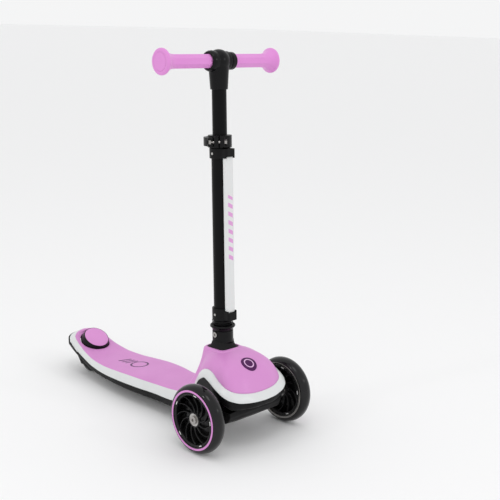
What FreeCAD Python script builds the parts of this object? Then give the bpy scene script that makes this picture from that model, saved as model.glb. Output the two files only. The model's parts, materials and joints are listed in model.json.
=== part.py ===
import FreeCAD, Part
import math
import os
from FreeCAD import Vector

# Kick scooter with two front wheels that lean to steer, one rear wheel and a stem that folds back.
# Millimetres. +Z is up, the rider faces -Y, +X is the rider's left. The model is drawn with the
# front axle at y = 0 and moved at the end so that the origin is under the middle of its length.

# Front wheels and steering truck
front_wheel_r = 60.0
front_wheel_w = 24.6
track_half = 105.6          # middle plane of each front wheel
front_shoulder = 8.0
core_r = 47.0               # hard wheel core inside the soft tyre
trim_r = 50.2               # coloured ring on the wheel's side
trim_band = 3.6
spokes = 10
axle_r = 4.0
bearing_r = 11.0
bearing_w = 7.0
kingpin_y = 8.0
kingpin_z = 58.0
kingpin_tilt = 40.0         # the pin's top leans this far forward
kingpin_r = 5.0
boss_r = 13.0
boss_half = 12.0
lug_t = 7.0
beam_h = 18.0
housing_low = 27.5          # underside of the truck housing
housing_wall = 3.0
spring_x = 27.0
# Rear wheel
rear_wheel_r = 27.0
rear_wheel_w = 38.0
rear_axle_y = 438.0
rear_core_r = 19.0
rear_shoulder = 6.0
cheek_gap = 1.5
cheek_t = 6.0
# Deck
deck_front = 100.0
tail_y = 490.0
wall = 3.0
plate_t = 5.0
ledge = 8.5                 # how far the foot plate lies inside the outer edge
tub_in = 3.2                # how far the tub lies inside the outer edge
rib_t = 2.4
rib_x = 18.0
rib_pitch = 48.0
rib_first = 140.0
rib_last = 380.0
# Brake
fender_y = 438.7
fender_z = 60.5
fender_tilt = 24.0
fender_r = 29.0
fender_wall = 2.5
fender_deep = 3.0
well_deep = 14.0
pad_y = 433.3
pad_z = 70.7
pad_tilt = 32.0
pad_r = 24.7
pad_t = 2.5
brake_pin_y = 404.0
brake_pin_z = 38.0
brake_pin_r = 2.5
brake_gap = 3.8             # between shoe and tyre at rest
# Stem, heights are along the stem from the fold bolt
fold_y = 54.3
fold_z = 176.0
stem_lean = 3.06
bolt_r = 4.0
tongue_half = 7.0
tongue_r = 10.0
neck_r = 18.5
neck_sweep_r = 23.0
collar_r = 16.0
sleeve_base = 6.3
sleeve_top = 16.3
sleeve_lip_r = 22.3
tube_base = 24.5
tube_top = 338.0
lower_tube_r = 15.0
upper_tube_r = 12.5
tube_wall = 2.0
bracket_front = 27.0
bracket_t = 3.2
bar_half = 9.0
bar_back = 15.3
bar_front = 24.0
bar_low = 41.0
bar_high = 313.0
clamp_low = 327.5
clamp_high = 348.5
clamp_r = 20.5
insert_depth = 140.0        # upper tube inside the lower tube
head_low = 424.6
bar_height = 471.7
handle_r = 8.0
grip_r = 11.8
grip_start = 20.0
grip_gap_left = 7.5
cap_r = 21.7
cap_face = 127.5
cap_thick = 9.0
end_disc_r = 15.0
end_disc_in = 1.2
# Fits
run_fit = 0.05
gap = 0.3

# Places shared by several pieces
arm_end = track_half - front_wheel_w / 2 - 2.4
frame_half = 24.0
frame_rear = 126.0
frame_floor = 38.0
frame_t = 5.0
frame_bolt_x = 16.0
frame_bolt_y = 118.0
nose_top = 153.0
plate_front = 104.0
door_half = 28.0
door_front = 146.0
door_rear = 186.0
holder_half = 26.0
switch_x = 0.0
switch_y = 181.0
clamp_angle = 45.0
lever_pin_x = -15.5
lever_pin_y = -23.0
lower_band = (tube_base + 0.6, 47.0)
upper_band = (309.0, clamp_low - 1)
screw_head_r = 2.2
bolt_seat = neck_r - 1.2
led_x = 30.0
screw_seat = -lower_tube_r - 1.4
hub_recess = 3.5
screw_points = [(s * x, y) for x, y in ((34, 132), (36, 208), (38, 300), (32, 366)) for s in (-1, 1)]

centre_y = (tail_y - front_wheel_r) / 2.0
AX, AY, AZ = Vector(1, 0, 0), Vector(0, 1, 0), Vector(0, 0, 1)
parts = {}

# Deck and nose curves: half outline seen from above (x, y), then side curves (y, z)
front_outline = [(0, -57), (23, -55.5), (42, -51), (57, -45), (67, -37), (74, -26), (76.5, -13),
                 (75.5, 0), (72.5, 14), (68.5, 30), (64.5, 48), (60, 75), (56.5, 105)]
deck_outline = [(54, 140), (53.5, 180), (57, 220), (58.8, 260), (57.8, 300), (54.7, 340), (50.6, 380),
                (46.5, 415), (44, 445), (41, 468), (30, 483), (14, 489)]
edge_line = [(95, 57.5), (140, 54.5), (180, 53), (240, 52.2), (300, 48.2), (345, 45), (375, 45.2),
             (405, 49.5), (435, 58.3), (460, 69.5), (500, 87.5)]
strip_line = [(95, 42), (140, 39), (180, 37.5), (240, 36), (300, 33.5), (345, 32.5), (380, 35),
              (405, 39.5), (435, 48), (460, 58.5), (500, 75)]
bottom_line = [(95, 31), (140, 28), (180, 27), (240, 27), (300, 27), (360, 27), (385, 30), (410, 37.5),
               (435, 45.5), (460, 55.5), (500, 71.5)]
arch_low = [(-62, 84), (-50, 86), (-41, 90.5), (-27, 98.7), (-14, 105.5), (0, 111.5), (14, 115.5),
            (27, 117), (38, 111.5), (47, 103.5), (56, 90), (67, 73), (82, 56), (104, 44)]
arch_high = [(-62, 97), (-47, 98.5), (-37, 102.5), (-24, 108.4), (-8, 115.2), (8, 122.5), (20, 127.2),
             (31, 128), (42, 124.5), (52, 116.5), (60, 105), (68, 91), (82, 72), (104, 59)]
housing_front = [(22, 27.5), (40, 34), (62, 43.5)]
housing_side = [(-2, 20), (21, 20), (28, 38), (28, 66), (-30, 72), (-34, 60), (-30, 51)]
housing_room = [(0, 24), (60, 24), (60, 95), (-27, 95), (-30, 61), (-27, 52)]
tray_low = [(-62, 72), (-40, 73), (-27, 82), (-10, 88), (14, 89), (34, 86), (46, 74), (58, 54),
            (76, 40), (104, 33)]


def add(name, *shapes):
    """Keep one piece under its node's name."""
    parts[name] = shapes[0] if len(shapes) == 1 else Part.makeCompound(list(shapes))


def box(x0, x1, y0, y1, z0, z1):
    return Part.makeBox(x1 - x0, y1 - y0, z1 - z0, Vector(x0, y0, z0))


def rod(r, length, base, direction=AZ):
    return Part.makeCylinder(r, length, base, direction)


def ring(r_out, r_in, length, base, direction=AZ):
    return rod(r_out, length, base, direction).cut(rod(r_in, length, base, direction))


def hexagon(across, length, base, direction):
    """Hexagonal nut or bolt head, across its flats."""
    r = across / math.sqrt(3)
    corners = [math.radians(60 * i) for i in range(7)]
    pts = [Vector(r * math.cos(t), r * math.sin(t), 0) for t in corners]
    head = Part.Face(Part.makePolygon(pts)).extrude(Vector(0, 0, length))
    head.Placement = FreeCAD.Placement(base, FreeCAD.Rotation(AZ, direction))
    return head


def spline(points):
    curve = Part.BSplineCurve()
    curve.interpolate(points)
    return curve.toShape()


def side_profile(low, high, half_x):
    """Solid between two side curves, each a list of (y, z), across the whole width."""
    a = [Vector(-half_x, y, z) for y, z in low]
    b = [Vector(-half_x, y, z) for y, z in high]
    edges = [spline(a), Part.makeLine(a[-1], b[-1]), spline(b), Part.makeLine(b[0], a[0])]
    return Part.Face(Part.Wire(Part.__sortEdges__(edges))).extrude(Vector(2 * half_x, 0, 0))


def side_polygon(points, x0, x1):
    """Prism across X of a polygon given as (y, z)."""
    pts = [Vector(x0, y, z) for y, z in points]
    return Part.Face(Part.makePolygon(pts + pts[:1])).extrude(Vector(x1 - x0, 0, 0))


def moved_in(points, inset):
    """Move a half outline inwards along its own normals."""
    out = []
    for i, (x, y) in enumerate(points):
        xa, ya = points[max(i - 1, 0)] if i else (-points[1][0], points[1][1])
        xb, yb = points[i + 1] if i + 1 < len(points) else (-points[-2][0], points[-2][1])
        size = math.hypot(xb - xa, yb - ya)
        out.append((x - inset * (yb - ya) / size, y + inset * (xb - xa) / size))
    return out


def plan_profile(inset, z0, z1):
    """Upright solid inside the whole outline of nose and deck, moved in by an inset."""
    half = moved_in(front_outline + deck_outline + [(0, tail_y)], inset)
    half[0] = (0, half[0][1])
    half[-1] = (0, half[-1][1])
    right = [Vector(x, y, z0) for x, y in half]
    left = [Vector(-x, y, z0) for x, y in half]
    face = Part.Face(Part.Wire([spline(right), spline(left[::-1])]))
    return face.extrude(Vector(0, 0, z1 - z0))


def plan_ring(inset, thick, z0=20.0, z1=140.0):
    return plan_profile(inset, z0, z1).cut(plan_profile(inset + thick, z0, z1))


def lifted(line, dz):
    return [(y, z + dz) for y, z in line]


def at_truck(y_off, along):
    """Point beside the kingpin: y_off behind it, along it towards its top."""
    t = math.radians(kingpin_tilt)
    return Vector(0, kingpin_y + y_off * math.cos(t) - along * math.sin(t),
                  kingpin_z + y_off * math.sin(t) + along * math.cos(t))


def at_stem(shape):
    """Carry a shape from the stem's own frame, with the fold bolt at its origin."""
    stand = FreeCAD.Placement(Vector(0, fold_y, fold_z), FreeCAD.Rotation(AX, -stem_lean))
    shape.Placement = stand.multiply(shape.Placement)
    return shape


def tilted(y, z, angle, side, along):
    """Point in a plane tilted up towards the rear: side within the plane, along its normal."""
    c, s = math.cos(math.radians(angle)), math.sin(math.radians(angle))
    return Vector(0, y + side * c - along * s, z + side * s + along * c)


def normal(angle):
    t = math.radians(angle)
    return Vector(0, -math.sin(t), math.cos(t))


def helix_spring(r, wire_r, length, turns, base, direction=AZ):
    path = Part.makeHelix(length / turns, length, r)
    section = Part.Wire(Part.makeCircle(wire_r, Vector(r, 0, 0), AY))
    coil = Part.Wire(path.Edges).makePipeShell([section], True, True)
    coil.Placement = FreeCAD.Placement(base, FreeCAD.Rotation(AZ, direction))
    return coil


# ---- deck ----
def deck_base():
    band = side_profile(bottom_line, strip_line, 90)
    body = plan_profile(tub_in, 20, 100).common(band)
    body = body.cut(box(-90, 90, -90, deck_front, 0, 160))
    inside = side_profile(lifted(bottom_line, wall), lifted(strip_line, 1), 90)
    hollow = plan_profile(tub_in + wall, 20, 100).common(inside)
    hollow = hollow.cut(box(-90, 90, -90, deck_front + wall, 0, 160))
    ribs = [box(x - rib_t / 2, x + rib_t / 2, rib_first, rib_last, 20, 100) for x in (-rib_x, rib_x)]
    y = rib_first
    while y < rib_last:
        ribs.append(box(-90, 90, y, y + rib_t, 20, 100))
        y += rib_pitch
    seats = [rod(5.0, 80, Vector(sx * frame_bolt_x, frame_bolt_y, 20)) for sx in (-1, 1)]
    seats += [rod(4.0, 80, Vector(x, yy, 20)) for x, yy in screw_points]
    room = plan_profile(ledge + 0.2, 20, 110)
    room = room.common(side_profile(lifted(bottom_line, wall - 0.5), lifted(edge_line, -plate_t), 90))
    ribs = ribs[0].multiFuse(ribs[1:] + seats).common(room)
    body = body.cut(hollow).fuse(ribs)
    inner = rear_wheel_w / 2 + cheek_gap
    cheek = [(386, 33), (402, 26), (428, 15), (450, 15), (462, 30), (464, 60), (430, 48), (386, 38)]
    for s in (-1, 1):
        x0, x1 = sorted((s * inner, s * (inner + cheek_t)))
        body = body.fuse(side_polygon(cheek, x0, x1))
    body = body.cut(box(-inner, inner, 394, 472, 0, 120))
    well = tilted(fender_y, fender_z, fender_tilt, 0, -well_deep)
    body = body.cut(rod(fender_r + 2, 60, well, normal(fender_tilt)))
    body = body.cut(rod(axle_r + run_fit, 80, Vector(-40, rear_axle_y, rear_wheel_r), AX))
    body = body.cut(rod(brake_pin_r + run_fit, 80, Vector(-40, brake_pin_y, brake_pin_z), AX))
    body = body.cut(box(-frame_half - gap, frame_half + gap, 80, frame_rear + gap, frame_floor, 120))
    door_way = door_half + gap
    body = body.cut(box(-door_way, door_way, door_front - gap, door_rear + gap, 10, 27 + wall + 0.01))
    body = body.cut(box(-holder_half - gap, holder_half + gap, door_front + 2, door_rear - 2, 27, 60))
    for x, yy in screw_points:
        body = body.cut(rod(1.6, 40, Vector(x, yy, height_at(edge_line, yy) - 15)))
    for s in (-1, 1):
        body = body.cut(rod(2.5, 30, Vector(s * frame_bolt_x, frame_bolt_y, frame_floor - 8)))
        body = body.cut(box(s * led_x - 3.2, s * led_x + 3.2, 189.5, 330.5, 33.7, 40.3))
    return body.removeSplitter()


def deck_top():
    """Foot plate that follows the deck's side curve, with a round hole for the brake."""
    low = lifted(edge_line, -plate_t)
    slab = plan_profile(ledge, 20, 110).common(side_profile(low, edge_line, 90))
    slab = slab.cut(box(-90, 90, -90, plate_front, 0, 160))
    hole = tilted(fender_y, fender_z, fender_tilt, 0, -30)
    slab = slab.cut(rod(fender_r + 1.2, 80, hole, normal(fender_tilt)))
    for x, y in screw_points:
        slab = slab.cut(rod(1.75, 100, Vector(x, y, 20)))
        slab = slab.cut(rod(3.4, 100, Vector(x, y, height_at(edge_line, y) - 2.2)))
    return slab


def height_at(line, y):
    """Height of a side curve at a place along the deck."""
    for (ya, za), (yb, zb) in zip(line, line[1:]):
        if ya <= y <= yb:
            return za + (zb - za) * (y - ya) / (yb - ya)
    return line[-1][1]


def deck_screws():
    out = []
    for x, y in screw_points:
        top = height_at(edge_line, y) - 0.6
        shank = rod(1.5, 11, Vector(x, y, top - 12))
        head = rod(3.1, 1.6, Vector(x, y, top - 1.6)).cut(hexagon(2.5, 1.2, Vector(x, y, top - 1.1), AZ))
        out.append(shank.fuse(head))
    return out


def deck_light_strip():
    """Diffuser band between the foot plate and the tub, round the sides and the tail."""
    band = plan_ring(0.0, ledge - 0.1).common(side_profile(lifted(strip_line, 0.02), edge_line, 90))
    return band.cut(box(-90, 90, -90, 104, 0, 160))


def led_boards():
    out = []
    for s in (-1, 1):
        x0 = s * led_x
        out.append(box(x0 - 0.8, x0 + 0.8, 190, 330, 34, 40))
        for i in range(6):
            xa, xb = sorted((x0 + s * 0.8, x0 + s * 2.6))
            out.append(box(xa, xb, 200 + 22 * i, 205 + 22 * i, 35, 39))
    out.append(box(-30, 30, -36, -34, 84, 92))
    return out


def battery_parts():
    floor = 27.0
    holder = box(-holder_half, holder_half, door_front + 2.5, door_rear - 2.5, 30.3, 45)
    cells = []
    for i in range(3):
        y = door_front + 8.7 + 11.6 * i
        base = Vector(-22.2, y, 36.5)
        holder = holder.cut(rod(5.5, 45.6, Vector(-22.8, y, 36.5), AX))
        cells.append(rod(5.2, 43.4, base, AX).fuse(rod(1.9, 1.1, base + Vector(43.4, 0, 0), AX)))
    button_hole = rod(4.3, 10, Vector(switch_x, switch_y, floor - 1))
    holder = holder.cut(rod(4.3, 8, Vector(switch_x, switch_y, 30)))
    add("battery_holder", holder)
    add("battery_cells", *cells)
    door = box(-door_half, door_half, door_front, door_rear, floor, floor + wall).cut(button_hole)
    for s in (-1, 1):
        door = door.cut(rod(1.8, 10, Vector(s * 20, door_rear - 5, floor - 1)))
    add("battery_door", door)
    add("light_button", rod(4.0, 4.3, Vector(switch_x, switch_y, floor - 1.4)))


# ---- nose ----
def superellipse(y_front, y_rear, half_w, z, power, egg):
    """Closed outline at one height, wider towards its front by the egg share."""
    yc, a = (y_front + y_rear) / 2, (y_rear - y_front) / 2
    pts = []
    for i in range(24):
        t = 2 * math.pi * i / 24
        c, s = math.cos(t), math.sin(t)
        pts.append(Vector(half_w * (1 + egg * c) * math.copysign(abs(s) ** (2 / power), s),
                          yc - a * math.copysign(abs(c) ** (2 / power), c), z))
    curve = Part.BSplineCurve()
    curve.interpolate(pts, PeriodicFlag=True)
    return Part.Wire(curve.toShape())


def bell(inset, top):
    """Nose body: outlines that shrink from the wheel arches up to the rim round the stem."""
    levels = [(50, -44, 112, 60, 2.5, 0.14), (97, -46.5, 92, 62, 2.6, 0.14), (112, -38, 82, 61, 2.6, 0.12),
              (128, -23, 75.5, 54, 2.5, 0.06), (141, -6, 72, 38, 2.4, 0), (148.5, 12, 74, 27, 2.8, 0),
              (top, 31, 75, 22, 4, 0)]
    wires = [superellipse(yf + inset, yr - inset, w - inset, z - (inset if 50 < z else 0), p, egg)
             for z, yf, yr, w, p, egg in levels]
    return Part.makeLoft(wires, True)


def nose_cover():
    shell = bell(0.0, nose_top).cut(bell(wall, nose_top))
    shell = shell.cut(bell_opening())
    above = side_profile(lifted(arch_high, 0.15), [(-62, 170), (104, 170)], 90)
    rear = box(-90, 90, 103.9, 130, 0, 170)
    return largest(shell.common(above).cut(rear))


def bell_opening():
    """Clear way through the rim for the neck insert."""
    return box(-19.4, 19.4, 33.6, 72.4, 120, 170)


def nose_light_strip():
    band = plan_ring(0.0, 26.0).common(side_profile(arch_low, arch_high, 90))
    return largest(band.cut(bell(-0.15, nose_top)).cut(box(-90, 90, 103.9, 600, 0, 200)))


def nose_tray():
    band = plan_ring(1.2, 4.0).common(side_profile(tray_low, lifted(arch_low, -0.1), 90))
    lip = plan_profile(1.2, 20, 140).common(box(-90, 90, -60, -30, 72.5, 75.5))
    tray = band.fuse(lip.cut(box(-90, 90, -60, -10, 20, 72.6)))
    return largest(tray.cut(box(-90, 90, deck_front - 0.1, 600, 0, 200)))


def largest(shape):
    return max(shape.Solids, key=lambda s: s.Volume)


def nose_badge():
    """Plain round badge lying on the front slope."""
    slope = 33.4
    base = tilted(-12.9, 137.5, slope, 0, -1.0)
    disc = rod(15.0, 2.4, base, normal(slope))
    return disc.cut(bell(0.0, nose_top))


def neck_boot():
    """Collar in the nose's rim, hollowed so that the neck can swing in it."""
    block = box(-19.2, 19.2, 33.8, 72.2, 138, 161)
    sweep = rod(neck_sweep_r + 0.7, 60, Vector(-30, fold_y, fold_z), AX)
    block = block.cut(sweep)
    block = block.cut(box(-30, 30, fold_y - 2, 90, nose_top - 0.4, 180))
    return block.cut(box(-tongue_half - gap, tongue_half + gap, 43.8, 64.8, 130, 170))


# ---- frame and truck ----
def head_frame():
    """Cast frame: kingpin lugs, web, base plate on the tub and tongue for the fold bolt."""
    up = normal(kingpin_tilt)
    upper = rod(10, lug_t, at_truck(0, boss_half + gap), up)
    lower = rod(10, lug_t, at_truck(0, -boss_half - gap - lug_t), up)
    arms = []
    for along in (boss_half + gap, -boss_half - gap - lug_t):
        pts = [at_truck(0, along), at_truck(30, along),
               at_truck(30, along + lug_t), at_truck(0, along + lug_t)]
        arms.append(side_polygon([(p.y, p.z) for p in pts], -9, 9))
    edge = [at_truck(16, -boss_half - gap - lug_t), at_truck(30, -boss_half - gap - lug_t),
            at_truck(30, boss_half + gap + lug_t), at_truck(16, boss_half + gap + lug_t)]
    web = side_polygon([(p.y, p.z) for p in edge], -9, 9)
    plate = box(-frame_half, frame_half, 34, frame_rear, frame_floor, frame_floor + frame_t)
    post = side_polygon([(24, 70), (46, frame_floor + 1), (78, frame_floor + 1), (68, 132), (44, 132)], -9, 9)
    back = fold_y + sleeve_base - 0.9
    neck = side_polygon([(44.6, 130), (64, 130), (64, 149), (back, 152.5), (back, fold_z), (44.6, fold_z)],
                        -tongue_half, tongue_half)
    eye = rod(tongue_r - 0.3, 2 * tongue_half, Vector(-tongue_half, fold_y, fold_z), AX)
    wing = box(-34, 34, 4, 22, 90, 94)
    stay = box(-9, 9, 14, 50, 84, 94)
    gusset = side_polygon([(70, frame_floor + 2), (110, frame_floor + 2), (72, 80)], -3, 3)
    frame = upper.multiFuse([lower, web, plate, post, neck, eye, wing, stay, gusset] + arms)
    frame = frame.cut(rod(kingpin_r + run_fit, 60, at_truck(0, -30), up))
    frame = frame.cut(rod(bolt_r + run_fit, 40, Vector(-20, fold_y, fold_z), AX))
    for s in (-1, 1):
        frame = frame.cut(rod(2.6, 30, Vector(s * frame_bolt_x, frame_bolt_y, frame_floor - 5)))
    return frame.removeSplitter()


def frame_bolts():
    bolts = []
    for s in (-1, 1):
        base = Vector(s * frame_bolt_x, frame_bolt_y, frame_floor - 7)
        head = hexagon(8, 3.5, base + AZ * (frame_t + 7), AZ)
        bolts.append(rod(2.4, 12, base).fuse(head))
    return bolts


def kingpin():
    up = normal(kingpin_tilt)
    end = boss_half + gap + lug_t
    pin = rod(kingpin_r, 2 * end + 5, at_truck(0, -end - 5), up)
    head = hexagon(13, 5, at_truck(0, end), up)
    nut = hexagon(13, 4.5, at_truck(0, -end - 4.7), up).cut(rod(kingpin_r, 20, at_truck(0, -end - 12), up))
    return [pin.fuse(head), nut]


def kingpin_bushes():
    """Flanged nylon bushes in the ends of the truck's bore."""
    up = normal(kingpin_tilt)
    out = []
    for along, sign in ((-boss_half, 1), (boss_half, -1)):
        out.append(ring(7.0, kingpin_r + run_fit, 9, at_truck(0, along if sign > 0 else along - 9), up))
    return out


def housing(inset, side_top, middle_top):
    """Truck housing's outline seen from the front, carried from front to rear."""
    half = [(0, housing_low + inset)] + [(x - 0.7 * inset, z + 0.9 * inset) for x, z in housing_front]
    half += [(housing_front[-1][0] - 0.7 * inset, side_top), (40, middle_top)]
    outline = half + [(-x, z) for x, z in half[:0:-1]]
    pts = [Vector(x, -40, z) for x, z in outline]
    return Part.Face(Part.makePolygon(pts + pts[:1])).extrude(Vector(0, 90, 0))


def truck_beam():
    """Steering beam: bored boss on the kingpin, arms out to the wheels and a hollow housing below."""
    up = normal(kingpin_tilt)
    boss = rod(boss_r, 2 * boss_half, at_truck(0, -boss_half), up)
    beam_low, beam_high = front_wheel_r - beam_h / 2, front_wheel_r + beam_h / 2
    arms = box(-arm_end, arm_end, kingpin_y - 16, kingpin_y + 6, beam_low, beam_high)
    ends = rod(beam_h / 2, 2 * arm_end, Vector(-arm_end, 0, front_wheel_r), AX)
    pads = [rod(9, 9, Vector(s * spring_x, 10, front_wheel_r)) for s in (-1, 1)]
    shell = housing(0.0, 66, 69).common(side_polygon(housing_side, -70, 70))
    room = housing(housing_wall, 90, 90).common(side_polygon(housing_room, -70, 70))
    shell = shell.cut(room)
    frame = boss.multiFuse([arms, ends, shell] + pads)
    frame = frame.cut(rod(7.0, 60, at_truck(0, -30), up))
    for along in (boss_half, -boss_half - 40):
        frame = frame.cut(rod(boss_r + 2.5, 40, at_truck(0, along), up))
    frame = frame.cut(side_polygon([(at_truck(q, a).y, at_truck(q, a).z) for q, a in
                                    ((13.2, -40), (60, -40), (60, 40), (13.2, 40))], -15, 15))
    for s in (-1, 1):
        frame = frame.cut(rod(axle_r, 40, Vector(s * (arm_end - 30), 0, front_wheel_r), Vector(s, 0, 0)))
    return largest(frame)


def front_axle(side):
    """Shouldered wheel bolt, screwed into the beam's end."""
    out = Vector(side, 0, 0)
    face = (front_wheel_w - 1.2) / 2 - hub_recess + run_fit
    outer = track_half + face
    bolt = rod(axle_r, outer - (arm_end - 28), Vector(side * (arm_end - 28), 0, front_wheel_r), out)
    head = rod(7.4, 2.8, Vector(side * outer, 0, front_wheel_r), out)
    socket = hexagon(5.0, 2.4, Vector(side * (outer + 1.0), 0, front_wheel_r), out)
    washer = rod(6.0, track_half - face - arm_end, Vector(side * arm_end, 0, front_wheel_r), out)
    return bolt.multiFuse([head.cut(socket), washer])


def tilt_springs():
    base = front_wheel_r + 9
    return [helix_spring(6.0, 1.1, 90 - base - 2.6, 5, Vector(s * spring_x, 10, base + 1.3)) for s in (-1, 1)]


# ---- wheels ----
def tyre(x, y, z, r, r_in, w, shoulder):
    """Soft tyre with rounded shoulders on a flat bore."""
    body = ring(r, r_in, w, Vector(x - w / 2, y, z), AX)
    rims = [e for e in body.Edges if abs(e.BoundBox.ZLength - 2 * r) < 0.1 and e.BoundBox.XLength < 0.1]
    return body.makeFillet(shoulder, rims)


def hub(x, y, z, r, w, boss, count):
    """Hard core: rim, bearing boss and swept spokes."""
    rim = ring(r, r - 4.5, w, Vector(-w / 2, 0, 0), AX)
    face = w / 2 - hub_recess
    middle = rod(boss, 2 * face, Vector(-face, 0, 0), AX)
    web = rod(r - 2, 2.4, Vector(-1.2, 0, 0), AX)
    pieces = [middle, web]
    for i in range(count):
        t = 2 * math.pi * i / count
        mid, end = (boss + r) / 2, r - 2.0
        pts = []
        for rr, turn in ((boss - 2, 0.0), (mid, 0.10), (end, 0.34)):
            pts.append(Vector(0, rr * math.cos(t + turn), rr * math.sin(t + turn)))
        arc = Part.Wire(Part.Arc(*pts).toShape())
        start = (pts[1] - pts[0]).normalize()
        across = start.cross(AX).normalize()
        half = w / 2 - 3.5
        blade = ((-1.3, -half), (1.3, -half), (1.3, half), (-1.3, half))
        c0 = [pts[0] + across * a + AX * b for a, b in blade]
        pieces.append(arc.makePipeShell([Part.makePolygon(c0 + c0[:1])], True, False))
    core = rim.multiFuse(pieces)
    core = core.cut(rod(axle_r + 2.0, w + 2, Vector(-w / 2 - 1, 0, 0), AX))
    for side in (-1, 1):
        mouth = side * (face - bearing_w)
        core = core.cut(rod(bearing_r, bearing_w + 5, Vector(mouth, 0, 0), Vector(side, 0, 0)))
    core.translate(Vector(x, y, z))
    return core


def bearings(x, y, z, w):
    out = []
    for side in (-1, 1):
        mouth = x + side * (w / 2 - hub_recess - bearing_w)
        out.append(ring(bearing_r, axle_r + run_fit, bearing_w, Vector(mouth, y, z), Vector(side, 0, 0)))
    return out


def front_wheel(name, side):
    x = side * track_half
    add(name + "_tyre", tyre(x, 0, front_wheel_r, front_wheel_r, core_r, front_wheel_w, front_shoulder))
    add(name + "_hub", hub(x, 0, front_wheel_r, core_r, front_wheel_w - 1.2, 13.5, spokes))
    add(name + "_bearings", *bearings(x, 0, front_wheel_r, front_wheel_w - 1.2))
    rings = []
    for s in (-1, 1):
        rings.append(ring(trim_r + trim_band / 2, trim_r - trim_band / 2, 0.9,
                          Vector(x + s * front_wheel_w / 2, 0, front_wheel_r), Vector(s, 0, 0)))
    add(name + "_trim", *rings)
    add(name + "_axle", front_axle(side))


def rear_wheel():
    w = rear_wheel_w
    add("rear_tyre", tyre(0, rear_axle_y, rear_wheel_r, rear_wheel_r, rear_core_r, w, rear_shoulder))
    add("rear_hub", hub(0, rear_axle_y, rear_wheel_r, rear_core_r, w - 1.0, 12.8, 6))
    add("rear_bearings", *bearings(0, rear_axle_y, rear_wheel_r, w - 1.0))
    reach = w / 2 + cheek_gap + cheek_t
    axle = rod(axle_r, 2 * reach, Vector(-reach, rear_axle_y, rear_wheel_r), AX)
    nuts = []
    for s in (-1, 1):
        nuts.append(hexagon(12, 4, Vector(s * reach, rear_axle_y, rear_wheel_r), Vector(s, 0, 0)))
    inner = w / 2 + cheek_gap
    spacer = inner - ((w - 1.0) / 2 - hub_recess + run_fit)
    spacers = [ring(6.2, axle_r, spacer, Vector(s * inner, rear_axle_y, rear_wheel_r), Vector(-s, 0, 0))
               for s in (-1, 1)]
    add("rear_axle", axle.multiFuse(nuts + spacers))


# ---- brake ----
def brake():
    up, top = normal(fender_tilt), normal(pad_tilt)
    outer = rod(fender_r, 40, tilted(fender_y, fender_z, fender_tilt, 0, -fender_deep), up)
    inner = rod(fender_r - fender_wall, 60, tilted(fender_y, fender_z, fender_tilt, 0, -fender_deep - 5), up)
    roof = rod(90, 60, tilted(pad_y, pad_z, pad_tilt, 0, -0.6), top)
    under = rod(90, 60, tilted(pad_y, pad_z, pad_tilt, 0, -pad_t - fender_wall), top)
    cup = outer.cut(roof).cut(inner.cut(under))
    seat = rod(pad_r + 0.1, 10, tilted(pad_y, pad_z, pad_tilt, 0, -pad_t), top)
    cup = cup.cut(seat)
    way_half = rear_wheel_w / 2 + 0.7
    tyre_way = rod(rear_wheel_r + brake_gap, 2 * way_half, Vector(-way_half, rear_axle_y, rear_wheel_r), AX)
    cup = cup.cut(tyre_way)
    reach = [(-4, -4), (4.5, -4), (9, 3), (11.5, 8.5), (13, 11.5), (9.6, 9.5), (8.8, 7), (-2, 5)]
    arm = side_polygon([(brake_pin_y + y, brake_pin_z + z) for y, z in reach], -7.5, 7.5)
    eye = rod(5.0, 15, Vector(-7.5, brake_pin_y, brake_pin_z), AX)
    cup = cup.multiFuse([arm, eye])
    cup = cup.cut(rod(brake_pin_r + run_fit, 40, Vector(-20, brake_pin_y, brake_pin_z), AX))
    add("brake_fender", largest(cup))
    crown = rod(pad_r, pad_t, tilted(pad_y, pad_z, pad_tilt, 0, -pad_t), top)
    add("brake_pad", crown)
    shoe = box(-10, 10, -9, 9, -20, 0)
    shoe.Placement = FreeCAD.Placement(tilted(pad_y, pad_z, pad_tilt, 3, -pad_t - fender_wall),
                                       FreeCAD.Rotation(AX, pad_tilt))
    add("brake_shoe", largest(shoe.cut(tyre_way)))
    half = rear_wheel_w / 2 + cheek_gap + cheek_t
    add("brake_pin", rod(brake_pin_r, 2 * half, Vector(-half, brake_pin_y, brake_pin_z), AX))
    add("brake_spring", helix_spring(4.0, 0.7, 8, 5, Vector(9.5, brake_pin_y, brake_pin_z), AX))


# ---- stem, in its own frame ----
def fold_head():
    """Fork that hangs over the frame's tongue, with a round foot that swings in the boot."""
    fork = rod(neck_r, 26, Vector(0, 0, -20)).common(rod(neck_sweep_r, 60, Vector(-30, 0, 0), AX))
    guide = rod(collar_r, tube_base - 6, Vector(0, 0, 6))
    plug = rod(upper_tube_r + 0.05, 30, Vector(0, 0, tube_base))
    body = fork.multiFuse([guide, plug])
    inside = tongue_half + gap
    slot = box(-inside, inside, -tongue_r - gap, 30, -30, tongue_r + gap)
    body = body.cut(slot)
    for s in (-1, 1):
        body = body.cut(rod(5.0, 5, Vector(s * bolt_seat, 0, 0), Vector(s, 0, 0)))
    return body.cut(rod(bolt_r, 60, Vector(-30, 0, 0), AX))


def fold_bolt():
    reach = bolt_seat
    bolt = rod(bolt_r, 2 * reach, Vector(-reach, 0, 0), AX)
    head = rod(4.9, 2.4, Vector(-reach, 0, 0), -AX).cut(hexagon(4, 1.6, Vector(-reach - 0.9, 0, 0), -AX))
    nut = rod(4.9, 2.4, Vector(reach, 0, 0), AX)
    return bolt.multiFuse([head, nut])


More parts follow.
